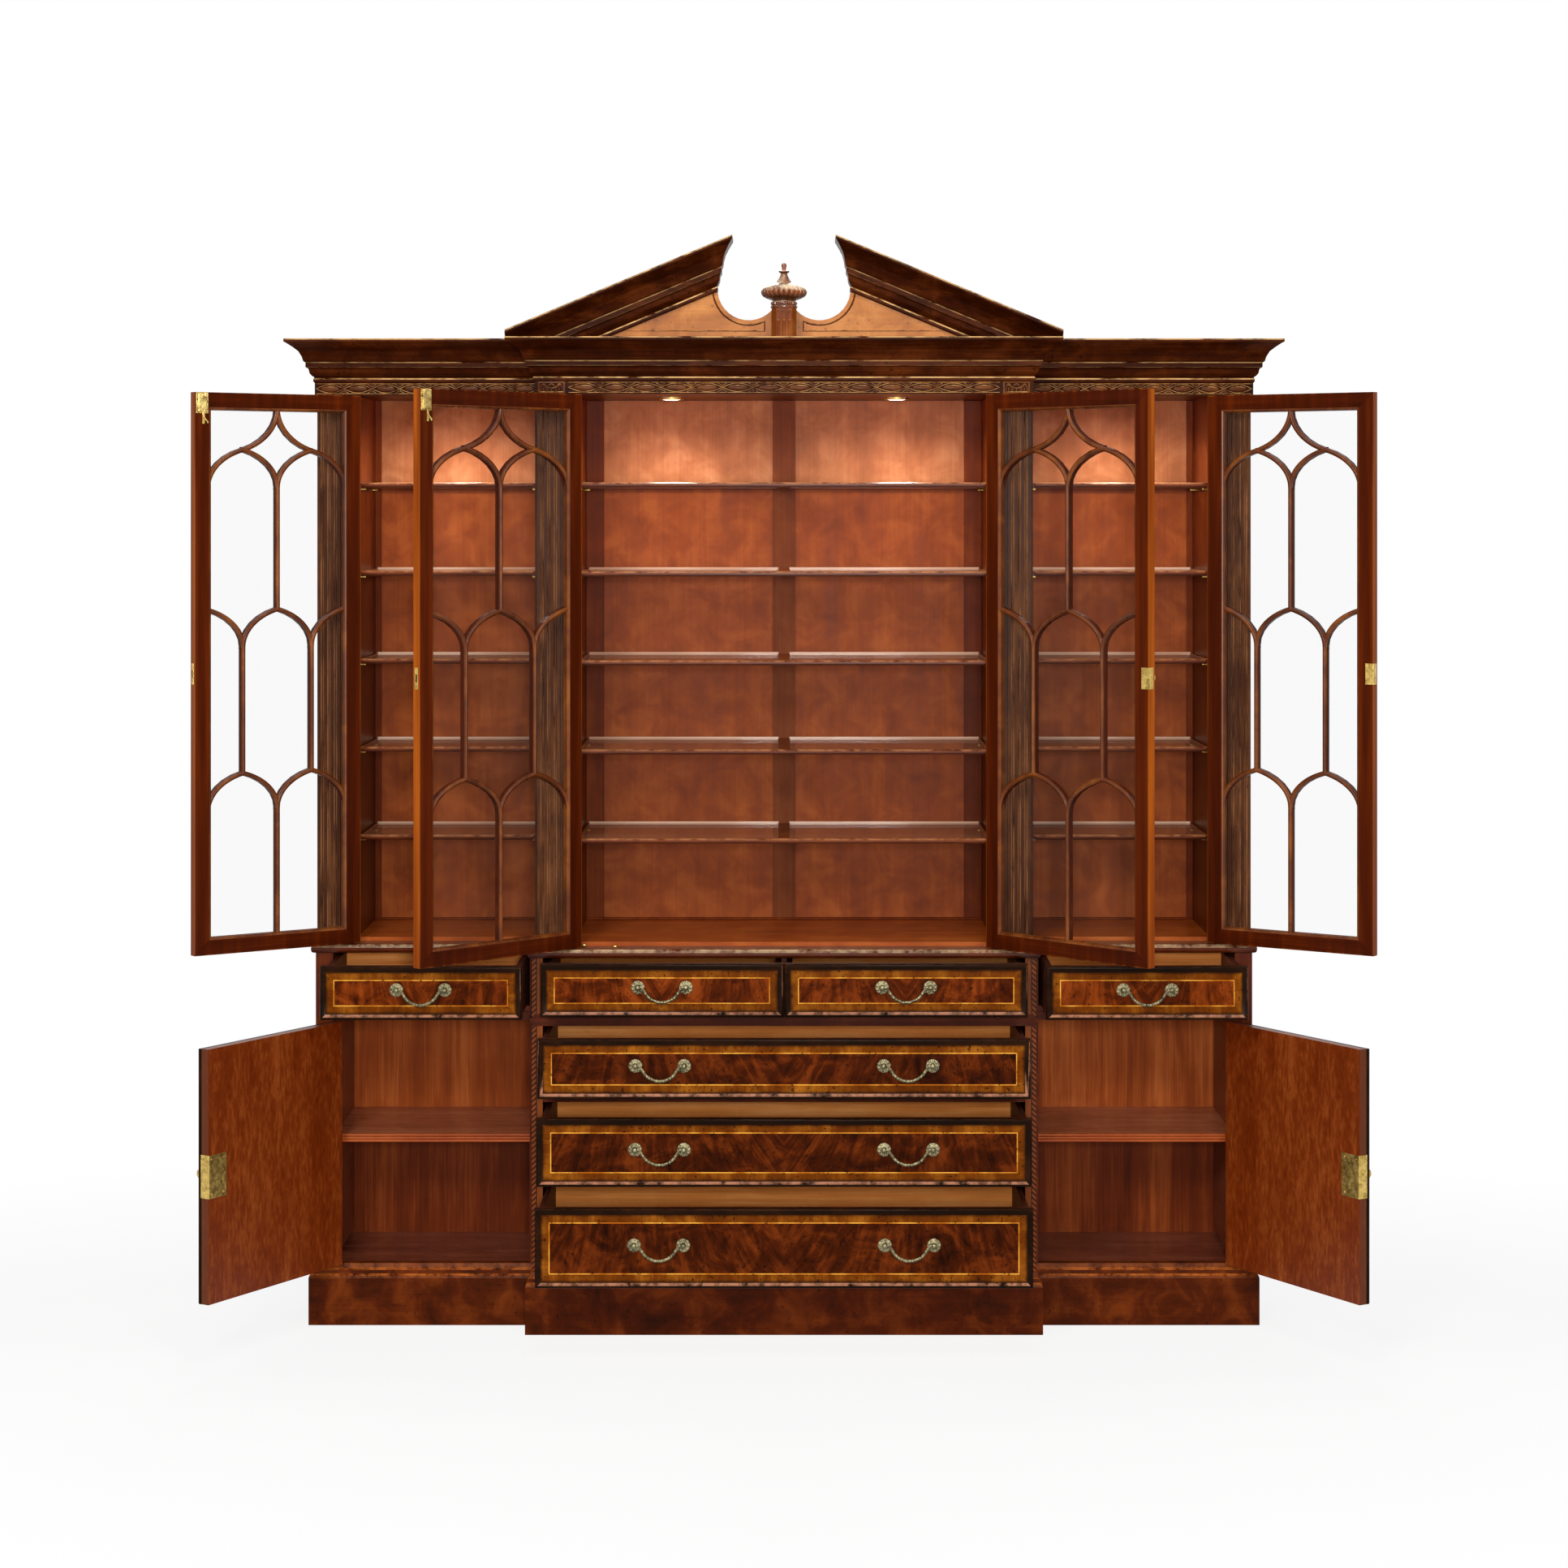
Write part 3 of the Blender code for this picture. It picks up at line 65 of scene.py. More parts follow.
class Link:
    # a shader socket that takes the sums written with it
    def __init__(self, finish, socket):
        self.finish = finish
        self.socket = socket

    def maths(self, operation, first, second=None):
        values = {0: first} if second is None else {0: first, 1: second}
        return self.finish.node("ShaderNodeMath", {"operation": operation}, values)

    def __add__(self, other):
        return self.maths("ADD", self, other)

    def __sub__(self, other):
        return self.maths("SUBTRACT", self, other)

    def __rsub__(self, other):
        return self.maths("SUBTRACT", other, self)

    def __mul__(self, other):
        return self.maths("MULTIPLY", self, other)

    __radd__ = __add__
    __rmul__ = __mul__

    def __abs__(self):
        return self.maths("ABSOLUTE", self)

    def over(self, edge):
        return self.maths("GREATER_THAN", self, edge)

    def least(self, other):
        return self.maths("MINIMUM", self, other)

    def sine(self):
        return self.maths("SINE", self)

    def step(self, low, high):
        # 0 below the low edge, 1 above the high edge
        values = {0: self, 1: low, 2: high, 3: 0.0, 4: 1.0}
        return self.finish.node("ShaderNodeMapRange", {"clamp": True}, values)


def shade(red, green, blue):
    # a screen colour, 0 to 255, as the linear colour that a shader takes
    values = [part / 255 for part in (red, green, blue)]
    return (*[part / 12.92 if part <= 0.04045 else ((part + 0.055) / 1.055) ** 2.4 for part in values], 1.0)


finishes = {}


class Finish:
    # a material, or the world, and the nodes that colour it
    def __init__(self, name, owner=None, shader="Principled BSDF", **settings):
        self.material = owner or bpy.data.materials.new(name)
        self.material.use_nodes = True
        self.tree = self.material.node_tree
        self.shader = self.tree.nodes[shader]
        self.set(**settings)
        finishes[name] = self.material

    def put(self, socket, value):
        if isinstance(value, Link):
            self.tree.links.new(value.socket, socket)
        else:
            socket.default_value = value

    def node(self, kind, settings=None, values=None, output=0):
        made = self.tree.nodes.new(kind)
        for key, value in (settings or {}).items():
            if key == "stops":
                ramp = made.color_ramp
                while len(ramp.elements) < len(value):
                    ramp.elements.new(0.5)
                for element, (place, colour) in zip(ramp.elements, value):
                    element.position = place
                    element.color = colour
            else:
                setattr(made, key, value)
        for key, value in (values or {}).items():
            self.put(made.inputs[key], value)
        return Link(self, made.outputs[output])

    def place(self, location=(0, 0, 0), turn=0.0, scale=(1, 1, 1)):
        # the piece's own axes: what lies at location, turned about Z, reads as the origin
        here = self.node("ShaderNodeTexCoord", output="Object")
        settings = {"vector_type": "TEXTURE"}
        return self.node("ShaderNodeMapping", settings, {0: here, 1: location, 2: (0, 0, turn), 3: scale})

    def stretch(self, vector, scale):
        return self.node("ShaderNodeVectorMath", {"operation": "MULTIPLY"}, {0: vector, 1: scale})

    def axes(self, vector):
        apart = self.node("ShaderNodeSeparateXYZ", None, {0: vector}).socket.node
        return [Link(self, apart.outputs[i]) for i in range(3)]

    def joined(self, x, y, z):
        return self.node("ShaderNodeCombineXYZ", None, {0: x, 1: y, 2: z})

    def facing(self):
        # how far the surface looks along x, y and z, from -1 to 1
        return self.axes(self.node("ShaderNodeNewGeometry", output="Normal"))

    def noise(self, vector, scale, detail=3.0, roughness=0.55, distortion=0.0):
        values = {"Vector": vector, "Scale": scale, "Detail": detail, "Roughness": roughness}
        return self.node("ShaderNodeTexNoise", None, {**values, "Distortion": distortion})

    def ramp(self, factor, stops):
        return self.node("ShaderNodeValToRGB", {"stops": stops}, {0: factor})

    def mix(self, factor, first, second):
        return self.node("ShaderNodeMix", {"data_type": "RGBA"}, {0: factor, 6: first, 7: second}, output=2)

    def specks(self, colour, vector, amount, scale=120.0, edges=(0.66, 0.73), tone=(16, 8, 5)):
        dots = self.noise(vector, scale, 2.0, 0.4)
        return self.mix(dots.step(*edges) * amount, colour, shade(*tone))

    def seen(self):
        # 1 for the camera and for what metal and glass show, 0 for the light on the object
        rays = self.node("ShaderNodeLightPath").socket.node
        kinds = [Link(self, rays.outputs[f"Is {kind} Ray"]) for kind in ("Camera", "Glossy", "Transmission")]
        return (kinds[0] + kinds[1] + kinds[2]).least(1.0)

    def bump(self, height, strength, distance):
        values = {"Height": height, "Strength": strength, "Distance": distance}
        self.put(self.shader.inputs["Normal"], self.node("ShaderNodeBump", None, values))

    def set(self, **links):
        for key, value in links.items():
            self.put(self.shader.inputs[key.replace("_", " ")], value)

    def polish(self, colour, grain, least, spread=0.22):
        # wood whose grain shows in its gloss, and a trace of it in its surface
        self.bump(grain, 0.08, 0.002)
        self.set(Base_Color=colour, Roughness=grain * spread + least)


# Woods: dark, middle and light tone of each
tones = {
    "case": ((44, 11, 0), (80, 26, 2), (118, 52, 12)),
    "plinth": ((28, 7, 0), (76, 26, 2), (124, 56, 14)),
    "carved": ((18, 5, 0), (54, 18, 3), (108, 50, 16)),
    "pilaster": ((30, 12, 5), (70, 34, 14), (124, 74, 38)),
    "door": ((38, 8, 0), (70, 21, 2), (106, 40, 6)),
    "bar": ((50, 16, 2), (96, 44, 10), (158, 90, 32)),
    "doorEdge": ((84, 28, 2), (146, 66, 12), (204, 106, 28)),
    "back": ((96, 35, 3), (132, 59, 14), (168, 89, 33)),
    "backTop": ((117, 63, 31), (151, 90, 53), (187, 126, 86)),
    "outerBack": ((62, 26, 8), (98, 46, 18), (136, 74, 34)),
    "backFrame": ((76, 32, 12), (104, 50, 22), (130, 72, 40)),
    "lining": ((62, 18, 1), (92, 34, 4), (128, 60, 16)),
    "doorInside": ((74, 19, 0), (114, 44, 9), (160, 82, 32)),
    "upperFloor": ((112, 42, 7), (158, 72, 20), (200, 112, 44)),
    "cupboard": ((54, 15, 3), (104, 41, 12), (160, 80, 32)),
    "cupboardTop": ((92, 32, 8), (154, 72, 26), (214, 122, 60)),
    "shelfPlum": ((130, 66, 44), (174, 98, 66), (212, 140, 100)),
    "plum": ((84, 36, 22), (124, 62, 42), (158, 92, 66)),
    "reeded": ((104, 30, 0), (150, 62, 20), (200, 104, 46)),
    "drawerInside": ((160, 84, 32), (214, 134, 64), (250, 184, 114)),
    "drawerDeep": ((60, 30, 22), (90, 47, 35), (122, 70, 52)),
    "drawerRim": ((30, 9, 4), (54, 20, 10), (92, 44, 24)),
    "black": ((12, 7, 3), (28, 14, 6), (58, 30, 12)),
    "banding": ((62, 21, 1), (108, 52, 5), (176, 106, 28)),
    "field": ((42, 10, 0), (86, 31, 3), (138, 60, 14)),
    "fieldDark": ((32, 7, 0), (66, 22, 2), (108, 45, 9)),
    "panel": ((116, 56, 14), (176, 104, 40), (222, 148, 74)),
    "gilt": ((42, 17, 5), (82, 39, 14), (138, 82, 37)),
    "friezeGround": ((16, 4, 0), (38, 13, 3), (76, 34, 11)),
    "finial": ((70, 24, 4), (124, 60, 16), (176, 104, 44)),
}
grainStretch = {"x": (0.08, 1.0, 1.0), "y": (1.0, 0.08, 1.0), "z": (1.0, 1.0, 0.08)}


def woodStops(name, places=(0.30, 0.49, 0.70)):
    return [(place, shade(*tone)) for place, tone in zip(places, tones[name])]


def grainValue(finish, vector, along):
    # wood figure along one axis: clouds, stripes and fine fibres
    drawn = finish.stretch(vector, grainStretch[along])
    thin = finish.stretch(drawn, grainStretch[along])
    broad = finish.noise(drawn, 9.0, 3.0, 0.5, 0.9)
    stripes = finish.noise(drawn, 46.0, 2.0, 0.6, 0.4)
    fibres = finish.noise(thin, 420.0, 2.0, 0.6)
    return broad * 0.46 + stripes * 0.32 + fibres * 0.22


def wearAndPaintedLight(wood, colour, here, amount, tone, slope):
    # polish worn through, with a painted highlight, where a moulding slopes up, and painted shade where it
    # looks down
    look = wood.facing()[2]
    patch = wood.noise(here, 40.0, 4.0, 0.65)
    edge = look.step(*slope[:2]) * (1 - look.step(*slope[2:]) * 0.9)
    # painted shade on faces that look down
    colour = wood.mix((0 - look).step(0.2, 0.9) * (amount * 0.8), colour, shade(16, 7, 4))
    # painted highlight, with wear, on faces that slope up
    return wood.mix(edge * patch.step(0.36, 0.58) * amount, colour, shade(*tone))


# Painted light: a lighter tone above a level, where more light falls, and painted highlights on the flutes'
# edges
paintedLightAbove = {"back": (1.962, "backTop"), "cupboard": (0.405, "cupboardTop")}
fluteHighlight = {"wood": "carvedUpright", "tone": (182, 124, 80), "amount": 0.6}


def makeWood(
    name, along, tone, roughness, gloss, mottle, spots, wearHighlight=0.0, wearHighlightTone=None, slope=(0.15, 0.8, 0.9, 0.98),
):
    wood = Finish(name, Specular_IOR_Level=gloss)
    here = wood.place()
    grain = grainValue(wood, here, along)
    cloud = wood.noise(here, 13.0, 4.0, 0.6, 0.5)
    figure = grain * (1 - mottle) + cloud * mottle
    colour = wood.ramp(figure, woodStops(tone))
    # painted light: a lighter copy of the wood above the level, standing for the stronger light there
    if name in paintedLightAbove:
        level, other = paintedLightAbove[name]
        above = wood.axes(here)[2].step(level - 0.004, level + 0.004)
        colour = wood.mix(above, colour, wood.ramp(figure, woodStops(other)))
    # painted highlight along the flutes' sloping walls
    if name == fluteHighlight["wood"]:
        aside = abs(wood.facing()[0])
        streaks = wood.noise(wood.stretch(here, (1, 1, 0.12)), 60.0, 3.0, 0.6)
        edge = aside.step(0.45, 0.55) * (1 - aside.step(0.88, 0.94)) * streaks.step(0.40, 0.58)
        colour = wood.mix(edge * fluteHighlight["amount"], colour, shade(*fluteHighlight["tone"]))
    if spots:
        colour = wood.specks(colour, here, spots)
    # worn polish with a painted highlight on upward slopes, painted shade on downward faces
    if wearHighlight:
        colour = wearAndPaintedLight(wood, colour, here, wearHighlight, wearHighlightTone, slope)
    wood.polish(colour, grain, roughness - 0.1)


# Each wood: grain axis, tone, roughness, gloss, share of clouds, strength of the specks and, where it is
# worn and takes a painted highlight, how much, to which colour and between which slopes
woods = {
    "caseUpright": ("z", "case", 0.32, 0.1, 0.25, 0.4),
    "caseAcross": ("x", "case", 0.32, 0.1, 0.4, 0.4),
    "plinthWood": ("x", "plinth", 0.32, 0.05, 0.65, 0.6, 0.8, (206, 112, 44)),
    "carvedUpright": ("z", "pilaster", 0.34, 0.05, 0.25, 0.6),
    "nosing": ("x", "case", 0.26, 0.2, 0.35, 0.8, 0.95, (255, 218, 168)),
    # ground of the fret, darker than the carving: painted shade of the recesses
    "friezeGround": ("x", "friezeGround", 0.3, 0.02, 0.5, 0.6),
    "carving": ("x", "gilt", 0.26, 0.06, 0.4, 0.3, 0.9, (226, 170, 102), (0.25, 0.6, 0.96, 0.99)),
    "finialWood": ("z", "finial", 0.24, 0.45, 0.4, 0.3, 0.9, (255, 226, 186)),
    "blockWood": ("z", "finial", 0.34, 0.06, 0.4, 0.4, 0.8, (226, 170, 116)),
    "panel": ("x", "panel", 0.3, 0.1, 0.5, 0.5, 0.5, (190, 122, 62)),
    "back": ("z", "back", 0.42, 0.09, 0.5, 0.0),
    "outerBack": ("z", "outerBack", 0.55, 0.03, 0.3, 0.2),
    "backFrame": ("z", "backFrame", 0.4, 0.04, 0.25, 0.1),
    "backStile": ("z", "lining", 0.4, 0.05, 0.25, 0.1),
    "lining": ("z", "lining", 0.34, 0.1, 0.4, 0.0),
    "liningAcross": ("x", "lining", 0.3, 0.12, 0.3, 0.0, 0.85, (226, 152, 98)),
    "upperFloor": ("x", "upperFloor", 0.32, 0.12, 0.3, 0.0, 0.3, (196, 112, 54)),
    "cupboard": ("z", "cupboard", 0.42, 0.06, 0.1, 0.0),
    "cupboardSide": ("y", "plum", 0.34, 0.15, 0.3, 0.0),
    "cupboardBoard": ("x", "plum", 0.26, 0.4, 0.3, 0.0),
    # the shelf takes a lighter copy of the plum board than the floor: painted light
    "cupboardShelf": ("x", "shelfPlum", 0.26, 0.4, 0.3, 0.0),
    "reeded": ("x", "reeded", 0.3, 0.15, 0.2, 0.0, 0.3, (222, 126, 62)),
    "drawerInside": ("x", "drawerInside", 0.55, 0.05, 0.1, 0.1),
    "drawerInsideDeep": ("y", "drawerDeep", 0.5, 0.1, 0.1, 0.1),
    "drawerRim": ("x", "drawerRim", 0.3, 0.2, 0.4, 0.2),
    "barWood": ("z", "bar", 0.28, 0.25, 0.4, 0.1),
    "beadTop": ("x", "black", 0.24, 0.03, 0.3, 0.3, 0.3, (110, 70, 48)),
    "bead": ("x", "black", 0.24, 0.03, 0.3, 0.3, 0.85, (186, 126, 96), (0.04, 0.08, 0.14, 0.18)),
}
for wood, row in woods.items():
    makeWood(wood, *row)


# Light lines along the cornices' arrises, worn gilt with a painted highlight: share of the moulding's height,
# half the line's height, strength
arrisWearAndHighlights = ((0.985, 0.0009, 0.75), (0.466, 0.0008, 0.55), (0.356, 0.0004, 0.25), (0.092, 0.0010, 0.9))


def makeCorniceFinish(name, top, height, rake):
    # rake is how much the moulding falls for each metre away from the middle
    wood = Finish(name, Specular_IOR_Level=0.02)
    here = wood.place()
    x, y, z = wood.axes(here)
    grain = grainValue(wood, here, "x")
    cloud = wood.noise(here, 13.0, 4.0, 0.6, 0.5)
    colour = wood.ramp(grain * 0.65 + cloud * 0.35, woodStops("carved"))
    rise = z + abs(x) * rake - (top - height)
    patch = wood.noise(wood.stretch(here, (0.3, 1, 1)), 50.0, 4.0, 0.65)
    colour = wood.specks(colour, here, 0.7, tone=(14, 6, 3))
    upright = 1 - wood.facing()[2].step(0.85, 0.97)
    # worn gilt and painted highlight lines along the arrises
    for share, half, strength in arrisWearAndHighlights:
        line = 1 - abs(rise - height * share).step(half, half * 2)
        colour = wood.mix(line * upright * patch.step(0.38, 0.56) * strength, colour, shade(238, 188, 122))
    wood.polish(colour, grain, 0.18)


pedimentRake = 0.41746
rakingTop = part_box("raking_cornice_left")[1].z + pedimentRake * 0.1191
makeCorniceFinish("corniceWood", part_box("cornice")[1].z, 0.101, 0.0)
makeCorniceFinish("rakingCorniceWood", rakingTop, 0.112, pedimentRake)


def makeBrass(name, dark, light, roughness, relief, scale):
    brass = Finish(name, Metallic=1.0)
    here = brass.place()
    patina = brass.noise(here, 80.0, 4.0, 0.6, 0.5)
    marks = brass.noise(here, scale, 2.0, 0.6, 1.2)
    worn = patina * 0.6 + marks * 0.4
    colour = brass.ramp(worn, [(0.36, shade(*dark)), (0.6, shade(*light))])
    brass.bump(marks, relief, 0.0012)
    brass.set(Base_Color=colour, Roughness=patina * 0.3 + (roughness - 0.12))


makeBrass("antiqueBrass", (52, 48, 34), (150, 141, 108), 0.42, 0.3, 500.0)
makeBrass("lockBrass", (148, 118, 52), (226, 194, 112), 0.34, 0.08, 300.0)
makeBrass("engravedBrass", (112, 86, 34), (238, 210, 134), 0.36, 0.9, 240.0)
# near-black metal for the strike's slot: painted shade
makeBrass("keyhole", (10, 8, 5), (30, 22, 12), 0.5, 0.1, 300.0)


def makeGlass(name, alpha, dark, light):
    glass = Finish(name, Roughness=0.04, IOR=1.45, Alpha=alpha)
    waves = glass.noise(glass.place(), 3.0, 2.0)
    glass.bump(waves, 0.02, 0.004)
    colour = glass.ramp(waves, [(0.3, shade(*dark)), (0.7, shade(*light))])
    glass.material.surface_render_method = "BLENDED"
    glass.set(Base_Color=colour)


makeGlass("windowGlass", 0.03, (46, 54, 50), (60, 68, 64))
# tan, half-opaque shelf glass: painted reflection of the lit interior
makeGlass("shelfGlass", 0.34, (206, 132, 88), (230, 160, 116))
# pale glass strips: painted reflection along the panes' edges
makeGlass("glassEdge", 0.65, (206, 160, 130), (246, 214, 188))
print("finishes made")

# The finishes that stand for each slot
slots = {
    "mahogany": ("barWood", "reeded", "bead"), "interior_wood": ("backStile", "liningAcross"),
    "carved_mahogany": ("carving", "finialWood", "blockWood"), "glass": ("shelfGlass", "glassEdge"),
    "lock_brass": ("lockBrass", "engravedBrass", "keyhole"), "antique_brass": ("antiqueBrass",),
}
slotOf = {finish: slot for slot, group in slots.items() for finish in group}


# Meshes and placing

def addObject(name, data):
    made = bpy.data.objects.new(name, data)
    bpy.context.scene.collection.objects.link(made)
    return made


def meshFrom(name, bm):
    mesh = bpy.data.meshes.new(name)
    bm.to_mesh(mesh)
    bm.free()
    return mesh


def newPiece(name, bm, finish, body="case", smooth=False, replaced=(), slotName=None):
    bmesh.ops.recalc_face_normals(bm, faces=bm.faces)
    return addPiece(name, meshFrom(name, bm), finish, body, smooth, replaced, slotName)


def addPiece(name, mesh, finish, body, smooth=False, replaced=(), slotName=None):
    if smooth:
        smoothMesh(mesh, 42)
    mesh.materials.clear()
    mesh.materials.append(finishes[finish])
    piece = addObject(name, mesh)
    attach(piece, body)
    if replaced:
        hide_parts(*replaced)
    slotName = slotName or slotOf.get(finish)
    return piece


def smoothMesh(mesh, angle):
    mesh.shade_smooth()
    mesh.set_sharp_from_angle(angle=math.radians(angle))


def addBox(bm, low, high, bevel=0.0):
    low, high = Vector(low), Vector(high)
    matrix = Matrix.Translation((low + high) / 2) @ Matrix.Diagonal((*(high - low), 1.0))
    made = bmesh.ops.create_cube(bm, size=1.0, matrix=matrix)
    if bevel:
        edges = list({edge for vert in made["verts"] for edge in vert.link_edges})
        bmesh.ops.bevel(bm, geom=edges, offset=bevel, segments=2, profile=0.5, affect="EDGES", material=-1)


def addRound(bm, start, end, radius, sides=16):
    start, end = Vector(start), Vector(end)
    along = end - start
    matrix = Matrix.Translation((start + end) / 2) @ along.to_track_quat("Z", "Y").to_matrix().to_4x4()
    bmesh.ops.create_cone(
        bm, cap_ends=True, segments=sides, radius1=radius, radius2=radius, depth=along.length, matrix=matrix,
    )


def addBall(bm, centre, size, turn=0.0, level=2):
    # an egg shape, turned about the depth axis
    matrix = Matrix.Translation(centre) @ Matrix.Rotation(turn, 4, "Y") @ Matrix.Diagonal((*size, 1))
    bmesh.ops.create_icosphere(bm, subdivisions=level, radius=1.0, matrix=matrix)


def settle(bm, before, matrix):
    # joins the seams of what was added, and puts it in its place
    bmesh.ops.remove_doubles(bm, verts=[vert for vert in bm.verts if vert not in before], dist=1e-6)
    bmesh.ops.transform(bm, matrix=matrix, verts=[vert for vert in bm.verts if vert not in before])


def addTurned(bm, profile, matrix, sides):
    # a profile of (radius, height) spun about the matrix's Z
    before = set(bm.verts)
    verts = [bm.verts.new((radius, 0, height)) for radius, height in profile]
    edges = [bm.edges.new(pair) for pair in zip(verts, verts[1:])]
    bmesh.ops.spin(
        bm, geom=verts + edges, cent=(0, 0, 0), axis=(0, 0, 1), angle=math.tau, steps=sides, use_merge=True,
    )
    settle(bm, before, matrix)


def addFrameMoulding(bm, centre, half, profile):
    # a closed moulding mitred round an upright rectangle; profile points are (inwards, out of the face)
    before = set(bm.verts)
    first = [bm.verts.new((-half[0] + inward, -out, -half[1] + inward)) for inward, out in profile]
    edges = [bm.edges.new(pair) for pair in zip(first, first[1:] + first[:1])]
    for axis in ((1, 0, 0), (0, 0, 1), (1, 0, 0), (0, 0, 1)):
        grown = bmesh.ops.extrude_edge_only(bm, edges=edges)["geom"]
        verts = {item for item in grown if isinstance(item, bmesh.types.BMVert)}
        bmesh.ops.transform(bm, matrix=Matrix.Scale(-1, 4, axis), verts=list(verts))
        edges = [item for item in grown if isinstance(item, bmesh.types.BMEdge)]
        edges = [edge for edge in edges if verts.issuperset(edge.verts)]
    settle(bm, before, Matrix.Translation(centre))


def addRods(name, lines, radius, finish, body="case", matrix=None, resolution=1, closed=False, squash=None):
    # round rods along lists of points; squash is the depth plane and the share kept
    curve = bpy.data.curves.new(name, "CURVE")
    curve.dimensions = "3D"
    curve.bevel_depth = radius
    curve.bevel_resolution = resolution
    curve.use_fill_caps = True
    for line in lines:
        spline = curve.splines.new("POLY")
        spline.points.add(len(line) - 1)
        spline.use_cyclic_u = closed
        for point, place in zip(spline.points, line):
            point.co = (*place, 1.0)
    holder = addObject(name, curve)
    mesh = bpy.data.meshes.new_from_object(holder.evaluated_get(bpy.context.evaluated_depsgraph_get()))
    bpy.data.objects.remove(holder)
    if squash:
        plane, share = squash
        flat = Matrix.Translation((0, plane, 0)) @ Matrix.Diagonal((1, share, 1, 1))
        mesh.transform(flat @ Matrix.Translation((0, -plane, 0)))
    if matrix:
        mesh.transform(matrix)
        if matrix.determinant() < 0:
            mesh.flip_normals()
    addPiece(name, mesh, finish, body, True)


def paint(node, choices, choose):
    # gives each face of a CAD node the finish that choose names by its middle and its normal
    mesh = nodes[node].data
    mesh.materials.clear()
    for name in choices:
        mesh.materials.append(finishes[name])
    for face in mesh.polygons:
        face.material_index = choose(face.center, face.normal)


def paintAll(node, name):
    paint(node, [name], lambda at, normal: 0)


# Doors: planes behind the pin's, running gap, members, and heights of both kinds above the ground
door = {
    "face": 0.0045, "gap": 0.0015, "thickness": 0.022, "lowerThickness": 0.026, "stile": 0.036, "rail": 0.034,
    "upperSpan": (0.891, 2.172), "lowerSpan": (0.1435, 0.7095), "wing": 0.4184, "centre": 0.4846,
    "lower": 0.4594, "keyInset": 0.022, "hingeEdge": 0.0014, "paneDepth": 0.0153, "barDepth": 0.0018,
}


class Door:
    # one door in its own axes: x from the pin across the door, y from the pin inwards
    def __init__(self, name, width, span, thickness):
        joint = joints[name]
        way = -1 if joint["axis"][2] > 0 else 1
        pin = (joint["pos_m"][0], joint["pos_m"][1], 0.0)
        turn = way * math.radians(joint["range_deg"][0])
        self.name, self.width = name, width
        self.low, self.high = span
        self.middle = sum(span) / 2
        self.inner = door["face"] + thickness
        self.place = (pin, turn, (way, 1, 1))
        turned = Matrix.Translation(pin) @ Matrix.Rotation(turn, 4, "Z")
        self.matrix = turned @ Matrix.Diagonal((way, 1, 1, 1))
        self.back = self.matrix.inverted()

    def add(self, label, bm, finish, smooth=False):
        bmesh.ops.transform(bm, matrix=self.matrix, verts=bm.verts)
        newPiece(f"{self.name}{label}", bm, finish, self.name, smooth)

    def rods(self, label, lines, radius, finish, resolution=3, squash=None):
        name = f"{self.name}{label}"
        addRods(name, lines, radius, finish, self.name, self.matrix, resolution, False, squash)


def makeDoorFinish(leaf):
    wood = Finish(f"{leaf.name}Mahogany", Specular_IOR_Level=0.04)
    own = wood.place(*leaf.place)
    x, y, z = wood.axes(own)
    fromSide = (x - door["gap"]).least(leaf.width - x)
    fromEnd = (z - leaf.low).least(leaf.high - z)
    mitre = fromSide - fromEnd
    isRail = mitre.over(0.0)
    grain = grainValue(wood, own, "z") * (1 - isRail) + grainValue(wood, own, "x") * isRail
    stripe = wood.noise(wood.stretch(own, (1, 1, 0.03)), 60.0, 2.0, 0.5)
    figure = grain * 0.7 + stripe * 0.3
    edge = x.over(leaf.width - 0.0004)
    colour = wood.mix(edge, wood.ramp(figure, woodStops("door")), wood.ramp(figure, woodStops("doorEdge")))
    corner = (1 - abs(mitre).step(0.0, 0.0009)) * (1 - fromSide.over(door["stile"]))
    colour = wood.mix(corner * 0.8, colour, shade(22, 8, 4))
    arris = 1 - fromSide.least(fromEnd).step(0.0, 0.0028)
    colour = wood.mix(arris * stripe.step(0.42, 0.6) * (1 - edge) * 0.5, colour, shade(176, 92, 30))
    wood.polish(colour, grain, 0.22, 0.2)


# Tracery of a glazed door, as shares of its glass height measured down from the top
tracery = {
    "ogeeMeet": 0.079, "firstSpring": 0.150, "secondApex": 0.381, "secondSpring": 0.452, "thirdApex": 0.690,
    "thirdSpring": 0.758, "steps": 14, "turn": math.radians(68), "radius": 0.0040, "fillet": 0.0015,
    "offset": 0.0040,
}


def arch(foot, apex):
    # leaves the foot upright and leans over to the apex
    turn = tracery["turn"]
    line = []
    for step in range(tracery["steps"] + 1):
        angle = turn * step / tracery["steps"]
        across = (1 - math.cos(angle)) / (1 - math.cos(turn))
        rise = math.sin(angle) / math.sin(turn)
        line.append((foot[0] + (apex[0] - foot[0]) * across, foot[1] + (apex[1] - foot[1]) * rise))
    return line


